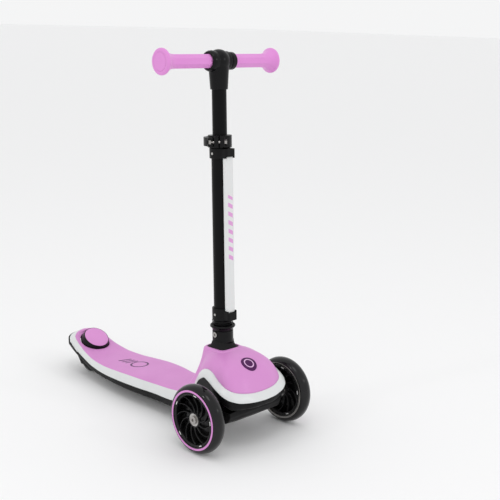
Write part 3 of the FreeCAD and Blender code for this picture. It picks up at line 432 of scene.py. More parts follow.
# every finish, colours in linear light, depth of the grain in metres
pink, pinkShade = (0.70, 0.285, 0.64), (0.63, 0.245, 0.575)
surfaces = {
    "pinkShell": dict(colour=pink, shade=pinkShade, rough=0.42, grain=1700, depth=3e-05, wear=0.25,
                     dust=0.06, coat=0.12, coatRough=0.25),
    "pinkDeck": dict(colour=pink, shade=pinkShade, rough=0.5, grain=900, depth=8e-05, wear=0.2,
                    dust=0.08, mark=deckDecoration, markColour=(0.085, 0.008, 0.1)),
    "pinkPad": dict(colour=(0.74, 0.31, 0.67), shade=(0.68, 0.27, 0.62), rough=0.55, grain=1300,
                   depth=6e-05, wear=0.2, dust=0.05),
    "pinkGrip": dict(colour=(0.76, 0.275, 0.685), shade=(0.71, 0.245, 0.64), rough=0.45, grain=1400,
                    depth=4e-05, wear=0.2, dust=0.0, sheen=0.15),
    "pinkTrim": dict(colour=(0.72, 0.27, 0.66), shade=(0.66, 0.23, 0.6), rough=0.35, wear=0.3, dust=0.1,
                    coat=0.3),
    "diffuser": dict(colour=(0.74, 0.755, 0.755), shade=(0.7, 0.715, 0.715), rough=0.32, grain=1100,
                    depth=1e-05, wear=0.1, wearColour=(0.9, 0.9, 0.9), dust=0.06, coat=0.35,
                    coatRough=0.15, scatter=0.12),
    "blackShell": dict(colour=(0.004, 0.004, 0.0045), shade=(0.006, 0.006, 0.0065), rough=0.42,
                      grain=1300, depth=2e-05, wear=0.3, wearColour=(0.03, 0.03, 0.03), dust=0.05,
                      specular=0.14, scuffs=0.1),
    "blackGloss": dict(colour=(0.003, 0.003, 0.0035), shade=(0.005, 0.005, 0.0055), rough=0.27,
                      grain=900, depth=6e-06, wear=0.3, wearColour=(0.03, 0.03, 0.03), dust=0.01,
                      coat=0.04, coatRough=0.12, specular=0.15, scuffs=0.1),
    "blackMetal": dict(colour=(0.003, 0.003, 0.0035), shade=(0.0045, 0.0045, 0.005), rough=0.34,
                      grain=1500, depth=2e-06, wear=0.0, dust=0.0, specular=0.1, scuffs=0.04),
    "castMetal": dict(colour=(0.02, 0.02, 0.021), shade=(0.035, 0.035, 0.036), rough=0.5, grain=800,
                     depth=9e-05, wear=0.5, wearColour=(0.2, 0.2, 0.2), dust=0.25, metallic=0.6),
    "blackRubber": dict(colour=(0.008, 0.008, 0.008), shade=(0.013, 0.013, 0.013), rough=0.66,
                       grain=1000, depth=3e-05, wear=0.3, dust=0.03, specular=0.15, scuffs=0.1),
    "tyre": dict(colour=(0.003, 0.003, 0.0035), shade=(0.005, 0.0045, 0.0055), rough=0.2, grain=700,
                depth=3e-06, wear=0.2, wearColour=(0.02, 0.02, 0.02), dust=0.05, coat=0.4,
                coatRough=0.05, specular=0.12, scuffs=0.08),
    "wheelCore": dict(colour=(0.003, 0.003, 0.0035), shade=(0.005, 0.005, 0.0055), rough=0.26,
                     grain=900, depth=1e-05, wear=0.3, wearColour=(0.03, 0.03, 0.03), dust=0.03,
                     coat=0.05, coatRough=0.1, specular=0.22, scuffs=0.1),
    "steel": dict(colour=(0.5, 0.49, 0.47), shade=(0.4, 0.39, 0.38), rough=0.3, grain=2400, depth=1e-05,
                 wear=0.3, wearColour=(0.8, 0.8, 0.79), dust=0.05, metallic=1.0),
    "chrome": dict(colour=(0.42, 0.4, 0.38), shade=(0.3, 0.29, 0.28), rough=0.2, grain=2600,
                  depth=5e-06, wear=0.2, wearColour=(0.9, 0.9, 0.9), dust=0.02, metallic=1.0),
    "board": dict(colour=(0.02, 0.16, 0.05), shade=(0.03, 0.2, 0.07), rough=0.4, grain=1800,
                 depth=2e-05, dust=0.0),
    "cell": dict(colour=(0.1, 0.22, 0.42), shade=(0.08, 0.18, 0.36), rough=0.3, grain=1800, depth=1e-05,
                dust=0.0, coat=0.4),
    "switchRubber": dict(colour=(0.05, 0.05, 0.05), shade=(0.07, 0.07, 0.07), rough=0.6, grain=1200,
                        depth=4e-05, dust=0.1),
    # white of the wheels' lamp windows, partly painted glints off the glossy rim
    "ledWhite": dict(colour=(0.82, 0.82, 0.8), shade=(0.7, 0.7, 0.69), rough=0.25, grain=900,
                    depth=1e-05, dust=0.05, coat=0.4),
    "badge": dict(colour=(0.075, 0.002, 0.085), shade=(0.06, 0.002, 0.07), rough=0.32, grain=1500,
                 depth=1e-05, wear=0.1, dust=0.0, coat=0.05, specular=0.2, mark=badgeRing,
                 markColour=(0.74, 0.45, 0.72)),
    "barDiffuser": dict(colour=(0.76, 0.77, 0.77), shade=(0.72, 0.73, 0.73), rough=0.3, grain=1100,
                       depth=1e-05, wear=0.1, wearColour=(0.9, 0.9, 0.9), dust=0.0, coat=0.35,
                       coatRough=0.15, scatter=0.12, mark=stemDashes, markColour=(0.72, 0.33, 0.66)),
}
finishes = {name: finish(name, **look) for name, look in surfaces.items()}
nodeFinish = {
    "blackShell": "deck_base battery_holder battery_door truck_beam "
                  "lower_bracket upper_bracket nose_tray",
    "steel": "deck_screws frame_bolts kingpin tilt_springs brake_pin brake_spring "
             "left_bearings right_bearings rear_bearings bracket_screws bar_tube",
    "board": "led_boards stem_led_board",
    "cell": "battery_cells",
    "blackRubber": "neck_boot kingpin_bushes",
    "castMetal": "head_frame brake_shoe",
    "blackMetal": "rear_axle lower_tube lock_spring upper_tube",
    "chrome": "left_axle right_axle fold_bolt clamp_bolt",
    "tyre": "rear_tyre left_tyre right_tyre",
    "wheelCore": "rear_hub left_hub right_hub",
    "blackGloss": "brake_fender fold_head clamp_collar lock_sleeve clamp_lever t_head grip_collar",
    "pinkPad": "brake_pad",
    "barDiffuser": "stem_light_bar",
    "pinkGrip": "grip_left grip_right bar_ends",
    "switchRubber": "light_button",
    "pinkDeck": "deck_top",
    "diffuser": "deck_light_strip nose_light_strip",
    "pinkShell": "nose_cover",
    "badge": "nose_badge",
    "pinkTrim": "left_trim right_trim",
}
for surface, names in nodeFinish.items():
    for name in names.split():
        for held in frame["nodes"][name].material_slots:
            held.material = finishes[surface]
print("finishes on", len(frame["nodes"]), "frame nodes")

# half of the light band, from the nose's front round to the tail: outer lower edge and inner upper edge,
# each (x, y, z)
bandLow = {
    "nose": [(0, -57, 84), (23, -56, 85), (40, -51, 85.5), (53, -47, 87.4), (64, -41, 91), (70, -35, 94),
        (74.5, -27, 98.7), (76.2, -16, 104.5), (75.7, -4, 110), (73, 6, 112.6), (71.6, 13, 114.6),
        (69.5, 23, 117), (68.2, 29.5, 116), (66.5, 38, 111), (64.8, 46, 104.6), (63.2, 53, 95.3),
        (60, 75, 66), (56.5, 104, 44)],
    "deck": [(56.5, 104, 44), (54, 140, 39), (53.5, 180, 37.5), (57, 220, 36.3), (58.8, 260, 35.2),
        (57.8, 300, 33.5), (54.7, 340, 32.5), (50.6, 380, 35), (46.5, 415, 42), (44, 445, 52),
        (41, 468, 61)],
    "tail": [(41, 468, 61), (30, 483, 66.5), (15, 488.5, 70), (0, 489.5, 71)]}
bandHigh = {
    "nose": [(0, -46.5, 96.5), (20, -46, 97.6), (35, -43.6, 99.4), (49, -37.5, 101.6), (57, -32, 104.5),
        (62.5, -24, 108.4), (63.6, -15.4, 112.3), (61.9, -4.5, 116.2), (60.1, 4, 120), (58.5, 15, 125.7),
        (56.8, 27, 128.2), (55, 39, 125.8), (54.2, 48, 120.8), (53.3, 56, 111.7), (52.8, 62, 101.5),
        (52.3, 67, 90.7), (50, 85, 71), (48.5, 104, 62)],
    "deck": [(48.5, 104, 62), (46.5, 140, 56), (46.7, 180, 53), (51.6, 220, 52.6), (53.5, 260, 51.2),
        (52.4, 300, 48.1), (49.3, 340, 45.1), (45.1, 380, 45.6), (42.5, 400, 48.5), (39.5, 420, 53),
        (36.5, 440, 60), (34, 455, 67), (31, 464, 71)],
    "tail": [(31, 464, 71), (18, 474, 75.5), (0, 478, 77.5)]}
lightBand = {"bulge": 1.3, "deep": 2.4}
bandSteps = {"nose": 120, "deck": 110, "tail": 30}
trayLow = [(-62, 72), (-40, 73), (-27, 82), (-10, 88), (14, 89), (34, 86), (46, 74), (58, 54), (76, 40),
    (104, 33)]
tubLow = [(104, 29.4), (140, 26.0), (180, 24.6), (240, 23.8), (300, 23.2), (360, 23.4), (385, 26.0),
    (410, 32.6), (435, 40.6), (460, 50.5), (500, 65.5)]
rail = {"lip": 0.3, "foot": 2.0, "thick": 2.0, "tailOut": 3.0, "from": 370, "over": 80}
pan = {"lip": 0.4, "foot": 9.0, "thick": 3.0}


def halfBand(side):
    # the stretches of one edge, each with its own count of places
    return {part: smoothLine(side[part], count) for part, count in bandSteps.items()}


lowHalf, highHalf = halfBand(bandLow), halfBand(bandHigh)
lowRear, highRear = (np.vstack([half["deck"], half["tail"][1:]]) for half in (lowHalf, highHalf))


def outward(line):
    # level direction away from the outline's inside, at every place of a half line
    along = np.gradient(line[:, :2], axis=0)
    across = np.stack([along[:, 1], -along[:, 0]], 1)
    for _ in range(2):
        across /= np.maximum(np.linalg.norm(across, axis=1, keepdims=True), 1e-9)
        across[np.abs(line[:, 0]) < 0.01, 0] = 0
    return np.hstack([across, np.zeros((len(line), 1))])


def bandRing(low, high, outerSteps=14, innerSteps=5):
    # closed section at every place: straight from the low edge to the high edge, bulged out by
    # bulge times (1 - |2t - 1|^3.2), then back at a depth below it
    rise = high - low
    skin = np.cross(np.gradient(low, axis=0), rise)
    skin /= np.maximum(np.linalg.norm(skin, axis=1, keepdims=True), 1e-9)
    skin *= np.sign((skin * outward(low)).sum(1, keepdims=True) + 0.35 * skin[:, 2:])
    t = np.linspace(0, 1, outerSteps)[None, :, None]
    crown = lightBand["bulge"] * (1 - np.abs(2 * t - 1) ** 3.2)
    outer = low[:, None] + rise[:, None] * t + skin[:, None] * crown
    t = np.linspace(0.97, 0.03, innerSteps)[None, :, None]
    inner = low[:, None] + rise[:, None] * t - skin[:, None] * lightBand["deep"]
    return np.concatenate([outer, inner], 1)


def noseMirror(grid):
    # rows of a half piece that starts at the front's middle, carried on to the other side
    return np.concatenate([(grid[::-1] * [-1, 1, 1])[:-1], grid], 0)


def tailMirror(grid):
    # rows of a half piece that ends at the tail's middle, carried on to the other side
    return np.concatenate([grid, (grid[::-1] * [-1, 1, 1])[1:]], 0)


tubePiece("nose_band", place(noseMirror(bandRing(lowHalf["nose"], highHalf["nose"]))), "deck", "diffuser",
          "diffuser", "nose_light_strip")
tubePiece("deck_band", place(tailMirror(bandRing(lowRear, highRear))), "deck", "diffuser", "diffuser",
          "deck_light_strip")
print("light bands")


def skirtRing(low, floorLine, lip, foot, thick, steps=12):
    # from just under the band down to the floor line, height along a sine of the way and the foot drawn in
    # by (1 - cosine)^1.6, then back inside; lip is how far under the band's edge it starts
    flat = outward(low)
    floor = np.interp(low[:, 1], *np.array(floorLine, float).T)
    t = np.linspace(0, np.pi / 2, steps)[None, :]
    top = low[:, 2:3] - 0.3
    z = top - (top - floor[:, None]) * np.sin(t)
    inset = lip + (foot - lip) * (1 - np.cos(t)) ** 1.6
    outer = low[:, None, :2] - flat[:, None, :2] * inset[..., None]
    outer = np.concatenate([outer, z[..., None]], 2)
    inner = outer[:, ::-3].copy()
    inner[..., :2] -= flat[:, None, :2] * thick
    inner[:, 0, 2] += 0.4
    return np.concatenate([outer, inner], 1)


# the rail comes out from under the band towards the tail
railLip = rail["lip"] - rail["tailOut"] * np.clip((lowRear[:, 1:2] - rail["from"]) / rail["over"], 0, 1)
railHalf = skirtRing(lowRear, tubLow, railLip, rail["foot"], rail["thick"])
panHalf = skirtRing(lowHalf["nose"], trayLow, pan["lip"], pan["foot"], pan["thick"])
tubePiece("rub_rail", place(tailMirror(railHalf)), "deck", "black_plastic", "blackShell")
tubePiece("nose_pan", place(noseMirror(panHalf)), "deck", "black_plastic", "blackShell", "nose_tray")
print("rail and tray")

plate = {"crown": 2.2, "spineStop": 466.0, "ring": 30.4, "thick": 3.0, "across": 49, "along": 170,
         "front": [(48.5, 97, 63.5), (48.5, 104, 62)], "ringMiddle": [0, 438.7, 60.5], "ringTilt": 24}


def footPlate():
    # rows along the pink edge, columns from the right edge over the middle line to the left edge; the height
    # is the edge's height plus crown times (1 - |u|^9); points inside the brake's ring are pushed out to it
    s = plate
    edge = np.vstack([smoothLine(s["front"], 6)[:-1], smoothLine(bandHigh["deck"], s["along"]),
                      highHalf["tail"][1:]])
    u = np.linspace(-1, 1, s["across"])
    u = np.sign(u) * (1 - (1 - np.abs(u)) ** 1.35)
    spine = np.minimum(edge[:, 1], s["spineStop"])
    x = edge[:, 0:1] * u[None, :]
    y = spine[:, None] + (edge[:, 1] - spine)[:, None] * np.abs(u)[None, :] ** 2
    lift = s["crown"] * (1 - np.abs(u) ** 9)[None, :] - 0.6 * (np.abs(u) > 0.999)[None, :]
    grid = np.stack([x, y, edge[:, 2:3] + lift], 2)
    tilt = math.radians(s["ringTilt"])
    up = np.array([0, -math.sin(tilt), math.cos(tilt)])
    away = grid - np.array(s["ringMiddle"])
    radial = away - (away @ up)[..., None] * up
    size = np.linalg.norm(radial, axis=2)
    inside = size < s["ring"]
    pushed = grid + radial / np.maximum(size, 1e-6)[..., None] * (s["ring"] - size)[..., None]
    return np.where((inside & (size > 1e-6))[..., None], pushed, grid), inside


plateGrid, plateHole = footPlate()
deckPlate = gridPiece("foot_plate", place(plateGrid), "deck", "pink_plastic", "pinkDeck", "deck_top",
                      drop=plateHole)
thicken(deckPlate, plate["thick"])
print("foot plate")

nose = {"rimHalf": 22.5, "rimCorner": 10, "rimMiddle": 53.0, "rimHigh": 152.6, "shoulder": 5.5,
        "shoulderCorner": 13, "lean": 0.035, "around": 220, "up": 40, "wall": 2.2, "pull": 0.36,
        "rear": [(48.5, 104, 62), (44, 106.5, 63.6), (30, 107.5, 64.2), (0, 108, 64.4)]}


def roundedSquare(angle, half, corner):
    # distance from the middle of a square with rounded corners, along each angle
    c, s = np.abs(np.cos(angle)), np.abs(np.sin(angle))
    flat = half / np.maximum(c, s)
    k = half - corner
    b = k * (c + s)
    arc = b + np.sqrt(np.maximum(b * b - (2 * k * k - corner * corner), 0))
    return np.where((flat * c > k) & (flat * s > k), arc, flat)


def levelWay(turn):
    # level direction for each turn from straight ahead
    return np.stack([np.sin(turn), -np.cos(turn), 0 * turn], 1)


def leaned(flatIn, share):
    # unit tangent that is this share level and the rest upright
    return flatIn * share[:, None] + [0, 0, 1] * np.sqrt(1 - share ** 2)[:, None]


def noseGrid():
    # for each direction round the stem: a cubic Bezier from the band or the deck up to the shoulder, then a
    # quadratic one over the rim; the tangents turn from a steep domed front to an upright rear
    s = nose
    halfBase = np.vstack([highHalf["nose"], smoothLine(s["rear"], 40)[1:]])
    bearing = np.unwrap(np.arctan2(halfBase[:, 0], -(halfBase[:, 1] - 46)))
    turn = np.linspace(0, np.pi, s["around"] // 2 + 1)
    base = np.stack([np.interp(turn, bearing, halfBase[:, k]) for k in range(3)], 1)
    direction, centre = levelWay(turn), np.array([0, s["rimMiddle"], 0])
    rear = (1 - np.cos(turn)) / 2
    shoulderReach = roundedSquare(turn, s["rimHalf"] + s["shoulder"], s["shoulderCorner"])
    shoulder = centre + direction * shoulderReach[:, None]
    shoulder[:, 2] = s["rimHigh"] - 2.4 - 2.4 * rear - s["lean"] * (shoulder[:, 1] - s["rimMiddle"])
    rim = centre + direction * roundedSquare(turn, s["rimHalf"], s["rimCorner"])[:, None]
    rim[:, 2] = s["rimHigh"] - s["lean"] * (rim[:, 1] - s["rimMiddle"]) - 0.3
    flatIn = shoulder - base
    flatIn[:, 2] = 0
    flatIn /= np.maximum(np.linalg.norm(flatIn, axis=1), 1e-6)[:, None]
    span = np.linalg.norm(shoulder - base, axis=1)
    front = np.clip((2.35 - turn) / 1.15, 0, 1)
    front = front * front * (3 - 2 * front)
    lowIn = 0.36 * front + 0.62 * (1 - front)
    lowIn = np.where(turn > 2.6, 0.62 - 0.3 * (turn - 2.6) / 0.54, lowIn)
    highIn = 0.985 * front + 0.16 * (1 - front)
    pull = s["pull"] * span[:, None]
    a, b = base + leaned(flatIn, lowIn) * pull, shoulder - leaned(flatIn, highIn) * pull
    t = np.linspace(0, 1, s["up"])[None, :, None]
    body = ((1 - t) ** 3 * base[:, None] + 3 * (1 - t) ** 2 * t * a[:, None]
            + 3 * (1 - t) * t ** 2 * b[:, None] + t ** 3 * shoulder[:, None])
    corner = shoulder + (rim - shoulder) * 0.25
    corner[:, 2] = np.maximum(shoulder[:, 2], rim[:, 2] + 0.1)
    q = np.linspace(0, 1, 8)[1:][None, :, None]
    over = (1 - q) ** 2 * shoulder[:, None] + 2 * q * (1 - q) * corner[:, None] + q ** 2 * rim[:, None]
    down = rim[:, None] + np.array([[0, 0, -2.0], [0, 0, -6.0]])[None]
    half = np.concatenate([body, over, down], 1)
    return np.concatenate([half, (half[::-1] * [-1, 1, 1])[1:-1]], 0)


noseShape = noseGrid()
noseShell = gridPiece("nose_shell", place(noseShape), "deck", "pink_plastic", "pinkShell", "nose_cover",
                      (True, False))
thicken(noseShell, nose["wall"])
badge = {"radius": 15.0, "middle": -12.9, "slope": 33.4, "around": 72, "high": 1.0}


def badgePiece():
    # rings of points round the badge's middle in its slope, dropped on to the nose's tangent plane at the
    # nearest point and raised by a low disc with a rounded rim
    s = badge
    radius = s["radius"] * np.r_[0, np.linspace(0.15, 0.93, 9), 0.97, 1.0, 1.0]
    lift = np.r_[s["high"] + 0 * np.arange(10), 0.85, 0.4, -1.2]
    angle = fullTurn(s["around"])
    slope = math.radians(s["slope"])
    x = radius[:, None] * np.cos(angle)
    y = s["middle"] + radius[:, None] * np.sin(angle) * math.cos(slope)
    skin = noseShape[:, :nose["up"]].reshape(-1, 3)
    tilt = np.cross(np.gradient(noseShape, axis=0), np.gradient(noseShape, axis=1))
    tilt = tilt[:, :nose["up"]].reshape(-1, 3)
    tilt *= np.sign(tilt[:, 2:])
    tilt /= np.linalg.norm(tilt, axis=1, keepdims=True)
    flat = np.stack([x, y], 2).reshape(-1, 2)
    nearest = ((flat[:, None] - skin[None, :, :2]) ** 2).sum(2).argmin(1)
    n, step = tilt[nearest], flat - skin[nearest, :2]
    z = skin[nearest, 2] - (n[:, 0] * step[:, 0] + n[:, 1] * step[:, 1]) / n[:, 2]
    points = np.column_stack([flat, z]).reshape(len(radius), -1, 3)
    return points + lift[:, None, None] * np.array([0, -math.sin(slope), math.cos(slope)])


gridPiece("nose_disc", place(badgePiece()), "deck", "badge", "badge", "nose_badge", (False, True))
print("nose")

boot = {"around": 144, "reach": 21.6, "corner": 9.5, "neck": 19.4, "highFront": 161.0, "highRear": 156.4,
        "sides": 6.5, "wall": 0.7, "base": 150.0, "middle": 53.8, "foot": 149, "folded": 0.3}


def bootGrid():
    # for each direction: a flare from the nose's rim up to a ring round the neck, reach by a sine and height
    # by (1 - cosine)^0.8, higher at the sides by sine squared of the turn, then down inside
    s = boot
    turn = fullTurn(s["around"])
    low = roundedSquare(turn, s["reach"], s["corner"])
    top = (s["highFront"] + s["highRear"]) / 2 + (s["highFront"] - s["highRear"]) / 2 * np.cos(turn)
    top += s["sides"] * np.sin(turn) ** 2
    base = nose["rimHigh"] - 1.2 - nose["lean"] * (low * -np.cos(turn))
    t = np.linspace(0, np.pi / 2, 10)
    reach = low[:, None] - (low[:, None] - s["neck"]) * np.sin(t)[None, :]
    z = base[:, None] + (top - base)[:, None] * (1 - np.cos(t))[None, :] ** 0.8
    inner = s["neck"] - s["wall"]
    reach = np.column_stack([low, reach, np.full((len(turn), 3), inner + 0.3), low * 0 + inner])
    z = np.column_stack([base - 4, z, top + 0.25, top - 0.2, top - 1.2, base * 0 + s["foot"]])
    points = levelWay(turn)[:, None] * reach[..., None]
    points[..., 2] = z
    return points + [0, s["middle"], 0]


bootPiece = gridPiece("neck_flare", place(bootGrid()), "deck", "black_rubber", "blackRubber", "neck_boot",
                      (True, False))
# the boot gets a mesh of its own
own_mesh(bootPiece)

wheel = {"half": 12.3, "ring": 50.2, "ringHalf": 1.7, "ringHigh": 0.75, "blades": 12, "bladeEnd": 43.6,
         "rooted": 1.5, "sweep": 0.66, "squareness": 0.55, "boss": 13.5, "windows": 5, "around": 160}
# the wheels' lamp windows: white blocks that partly stand in for painted glints
glintLampWindow = {"middle": 44.7, "halfHigh": 0.8, "face": 11.6, "thick": 0.35, "halfTurn": 0.075, "first": 0.35}
# halves and closed lines of (radius, along the axle)
tyreSection = [(47.0, -12.0), (47.6, -12.3), (51.2, -12.3), (54.2, -11.5), (56.8, -9.6), (58.8, -6.2),
    (59.8, -2.6), (60.0, 0.0)]
rimLine = [(47.0, -11.6), (43.5, -11.7), (42.2, -10.2), (42.0, 0), (42.2, 10.2), (43.5, 11.7), (47.0, 11.6)]
webLine = [(42.8, -1.6), (20, -1.9), (14.5, -4), (13.6, -8), (12, -8.6), (11, -8.4)]
halfBox = [(-1, 0), (-1, 1), (1, 1), (1, 0), (-1, 0)]  # the ring's and the windows' raised section


def closedSection(half, count):
    # the tyre's half section mirrored, and closed by a bore line
    outer = smoothLine(half + [(r, -a) for r, a in half[-2::-1]], count)
    return np.vstack([outer, [[half[0][0], 6.0], [half[0][0], -6.0]]])


def bladeGrid(index):
    # a superellipse carried outwards while it turns: its angle grows with the 1.25th power of the way out,
    # its width thins by a half sine and its depth grows evenly
    s = wheel
    t = np.linspace(0, 1, 14)[:, None]
    radius = s["boss"] - s["rooted"] + (s["bladeEnd"] - s["boss"] + s["rooted"]) * t
    angle = 2 * np.pi * index / s["blades"] + s["sweep"] * t ** 1.25
    around = fullTurn(12)[None, :]
    circle = np.stack([np.cos(around), np.sin(around)])
    wide, deep = np.sign(circle) * np.abs(circle) ** s["squareness"]
    across, axial = (1.9 - 0.7 * np.sin(np.pi * t)) * wide, (7.4 + 2.2 * t) * deep
    lean = angle + across / radius
    return np.stack([axial, radius * np.cos(lean), radius * np.sin(lean)], 2)


def frontWheel(side, name):
    # side is 1 on the left; the profiles are turned about the axle, outwards from the wheel's middle
    body = name + "_wheel"
    centre = np.array(joints[name + "_wheel_spin"]["pos_m"])
    out = [float(side), 0, 0]
    turnedPiece(name + "_soft_tyre", closedSection(tyreSection, 46), centre, out, body, "clear_black_tyre",
                "tyre", name + "_tyre", wheel["around"])
    web = roundedPath(webLine, 1.5)
    parts = [(turned(roundedPath(rimLine, 1.0), centre, out, 120), (True, True)),
             (turned(np.vstack([web, web[::-1] * [1, -1]]), centre, out), (True, True))]
    for index in range(wheel["blades"]):
        parts.append((centre + bladeGrid(index) * [side, side, 1] * mm, (False, True)))
    meshPiece(name + "_turbine_core", *joined(parts), body, "wheel_core", "wheelCore", name + "_hub")
    ring = roundedPath(halfBox, 0.7) * [wheel["ringHalf"], wheel["ringHigh"]]
    ring += [wheel["ring"], wheel["half"] - 0.1]
    turnedPiece(name + "_outer_ring", ring, centre, out, body, "pink_trim", "pinkTrim", name + "_trim",
                wheel["around"])
    turnedPiece(name + "_inner_ring", ring * [1, -1], centre, out, body, "chrome", "chrome",
                around=wheel["around"])
    # lamp windows let into both faces of the rim, between the ring and the blades; their plain white is partly
    # painted glints off the glossy rim
    s, windows = glintLampWindow, []
    for index in range(2 * wheel["windows"]):
        face = 1 if index < wheel["windows"] else -1
        angle = 2 * np.pi * (index + s["first"]) / wheel["windows"]
        arc = np.linspace(-s["halfTurn"], s["halfTurn"], 8)[:, None] + angle
        section = roundedPath(halfBox, 0.8)[None]
        radius = s["middle"] + s["halfHigh"] * section[..., 0]
        along = face * side * (s["face"] + s["thick"] * section[..., 1]) + 0 * arc
        spot = np.stack([along, radius * np.cos(arc), radius * np.sin(arc)], 2)
        windows.append((centre + spot * mm, (False, True)))
    meshPiece(name + "_painted_glint_windows", *joined(windows), body, "diffuser", "ledWhite")


for side, name in ((1, "left"), (-1, "right")):
    frontWheel(side, name)
print("wheels")

brakeSize = {"base": np.array([0, 438.7, 60.5]), "baseTilt": 24.0, "baseRadius": 29.0, "deep": 0.9,
             "top": np.array([0, 431.8, 71.6]), "topTilt": 32.0, "topRadius": 26.0, "padRadius": 24.9,
             "around": 120}
# rounded side view of the brake's arm, (back, up)
armLine = [(402, 34), (408.5, 34), (413, 41), (415.5, 46.5), (417, 49.5), (413.6, 47.5), (412.8, 45),
    (402, 43), (399.6, 38.5), (402, 34)]


def tiltedCircle(middle, tilt, radius, lift):
    # circle round a middle in a plane that rises to the rear, lifted along its own normal
    t = math.radians(tilt)
    angle = fullTurn(brakeSize["around"])[:, None]
    sideways, rearwards = np.array([1, 0, 0]), np.array([0, math.cos(t), math.sin(t)])
    upwards = np.array([0, -math.sin(t), math.cos(t)])
    return middle + radius * (np.cos(angle) * sideways + np.sin(angle) * rearwards) + lift * upwards


def brakeCup():
    # straight up from the base ring to the top ring with a half sine's bulge, over the rim, down round the
    # pad's seat and back inside; the last rings are (radius, lift)
    s = brakeSize
    base, top, low, high = s["base"], s["top"], s["baseTilt"], s["topTilt"]
    foot = tiltedCircle(base, low, s["baseRadius"], -s["deep"])
    rim = tiltedCircle(top, high, s["topRadius"], -1.2)
    bulge = 0.5 * (foot - foot.mean(0)) / s["baseRadius"]
    way = np.linspace(0.08, 1, 10)
    rows = [foot] + [foot * (1 - t) + rim * t + math.sin(math.pi * t) * bulge for t in way]
    seat = [(s["topRadius"] - 0.15, -0.5), (s["topRadius"] - 0.6, -0.15), (s["padRadius"] + 0.1, -0.2),
            (s["padRadius"] + 0.05, -2.4), (s["padRadius"] - 1.5, -2.6)]
    rows += [tiltedCircle(top, high, radius, lift) for radius, lift in seat]
    rows += [tiltedCircle(base, low, s["baseRadius"] - 2.5, lift) for lift in (1.0, -s["deep"])]
    return np.array(rows)


def brakePad():
    # low dome: height falls with the fourth power of the radius, with a rounded rim and a flat underside
    s = brakeSize
    dome = np.r_[0, np.linspace(0.12, 0.9, 10)]
    share = np.r_[dome, 0.95, 0.985, 1.0, 1.0, 0]
    lift = np.r_[1.3 - dome ** 4, 0.35, 0.05, -0.5, -2.3, -2.3]
    radius = s["padRadius"] * share
    return np.array([tiltedCircle(s["top"], s["topTilt"], r, h) for r, h in zip(radius, lift)])


gridPiece("brake_cup", place(brakeCup()), "brake", "black_plastic", "blackGloss", "brake_fender",
          (True, True))
gridPiece("brake_top", place(brakePad()), "brake", "pink_plastic", "pinkPad", "brake_pad", (False, True))
armOutline = roundedPath(armLine, 2.2)
armGrid = np.stack([np.insert(armOutline, 0, x, axis=1) for x in np.linspace(-7.5, 7.5, 7)])
tubePiece("brake_arm", place(armGrid), "brake", "black_plastic", "blackShell")
print("brake")

grip = {"flat": 11.8, "cap": 21.7, "flareFrom": 97.0, "capFrom": 119.5, "high": 471.7, "across": 96,
        "bore": 8.2, "lap": 6}


def gripSurface(side, start):
    # radius at (x, angle): eight flats that fade into a circle while a flare, growing with the 2.6th power of
    # the way, opens them to the mushroom end; capX and capR are the end's own line
    s = grip
    x = np.r_[start, start + 0.25, start + 0.9, np.linspace(start + 1.6, s["capFrom"], 60)]
    t = np.clip((x - s["flareFrom"]) / (s["capFrom"] - s["flareFrom"]), 0, 1)
    small = s["flat"] - np.r_[1.1, 0.4, 0.1, np.zeros(len(x) - 3)]
    body = small + (s["cap"] - 2.6 - s["flat"]) * t ** 2.6
    angle = fullTurn(s["across"])
    octagon = 1 / np.cos((angle + np.pi / 8) % (np.pi / 4) - np.pi / 8)
    rounding = np.clip(t * 1.15, 0, 1)[:, None]
    radius = body[:, None] * (octagon[None] * 0.97 * (1 - rounding) + rounding)
    capX = np.array([0.7, 1.4, 2.2, 3.4, 5.0, 6.2, 7.1, 7.6, 7.8, 7.8, 7.3, 7.2]) + s["capFrom"]
    capR = np.array([19.9, 20.7, 21.3, 21.65, 21.7, 21.3, 20.4, 19.2, 17.5, 15.6, 15.2, 14.0])
    x = np.r_[start + s["lap"], start, x, capX, capX[-1]]
    inner = np.full((2, len(angle)), s["bore"])
    radius = np.vstack([inner, radius, np.repeat(np.r_[capR, 0.0][:, None], len(angle), 1)])
    return placeStem(side * x[:, None], radius * np.cos(angle), s["high"] + radius * np.sin(angle))


for name, side, start in (("left", 1, 27.5), ("right", -1, 20.0)):
    gridPiece("soft_grip_" + name, gripSurface(side, start), "handlebar", "pink_grip", "pinkGrip",
              "grip_" + name, (False, True))
softened("rounded_t_head", "t_head", "blackGloss", 0.7, 8)
softened("rounded_clamp", "clamp_collar", "blackGloss", 0.55, 4)
softened("rounded_lever", "clamp_lever", "blackGloss", 0.5, 4)
softened("rounded_neck", "fold_head", "blackGloss", 0.6, 5)
softened("rounded_lower_bracket", "lower_bracket", "blackShell", 0.55, 4)
softened("rounded_upper_bracket", "upper_bracket", "blackShell", 0.55, 4)
truck = softened("rounded_truck", "truck_beam", "blackShell", 0.9, 6)
# below this height the truck's shell is drawn up to this share of its depth
truckBelly = {"from": 0.048, "keep": 0.62}
corners = np.empty(len(truck.data.vertices) * 3)
truck.data.vertices.foreach_get("co", corners)
heights = corners[2::3]
corners[2::3] = np.where(heights < truckBelly["from"],
                         truckBelly["from"] - (truckBelly["from"] - heights) * truckBelly["keep"], heights)
truck.data.vertices.foreach_set("co", corners)
truck.data.update()
# cuffs that lap over the inner ends of the grips: a closed profile of (radius, along) turned about the bar
cuffs = {
    "cuff_right": (-1, [(12.4, 24.2), (13.6, 25.6), (15.4, 24.8), (17.2, 21.5), (18.0, 16.5), (12.4, 16.5),
        (12.4, 24.2)]),
    "cuff_left": (1, [(12.4, 20.4), (12.4, 30.2), (14.0, 30.8), (15.0, 29.6), (15.0, 22.4), (14.0, 20.4),
        (12.4, 20.4)])}
for name, (side, profile) in cuffs.items():
    turnedPiece(name, roundedPath(profile, 0.8), placeStem(0, 0, grip["high"]), [float(side), 0, 0],
                "handlebar", "black_plastic", "blackGloss")
print("castings and mouldings")

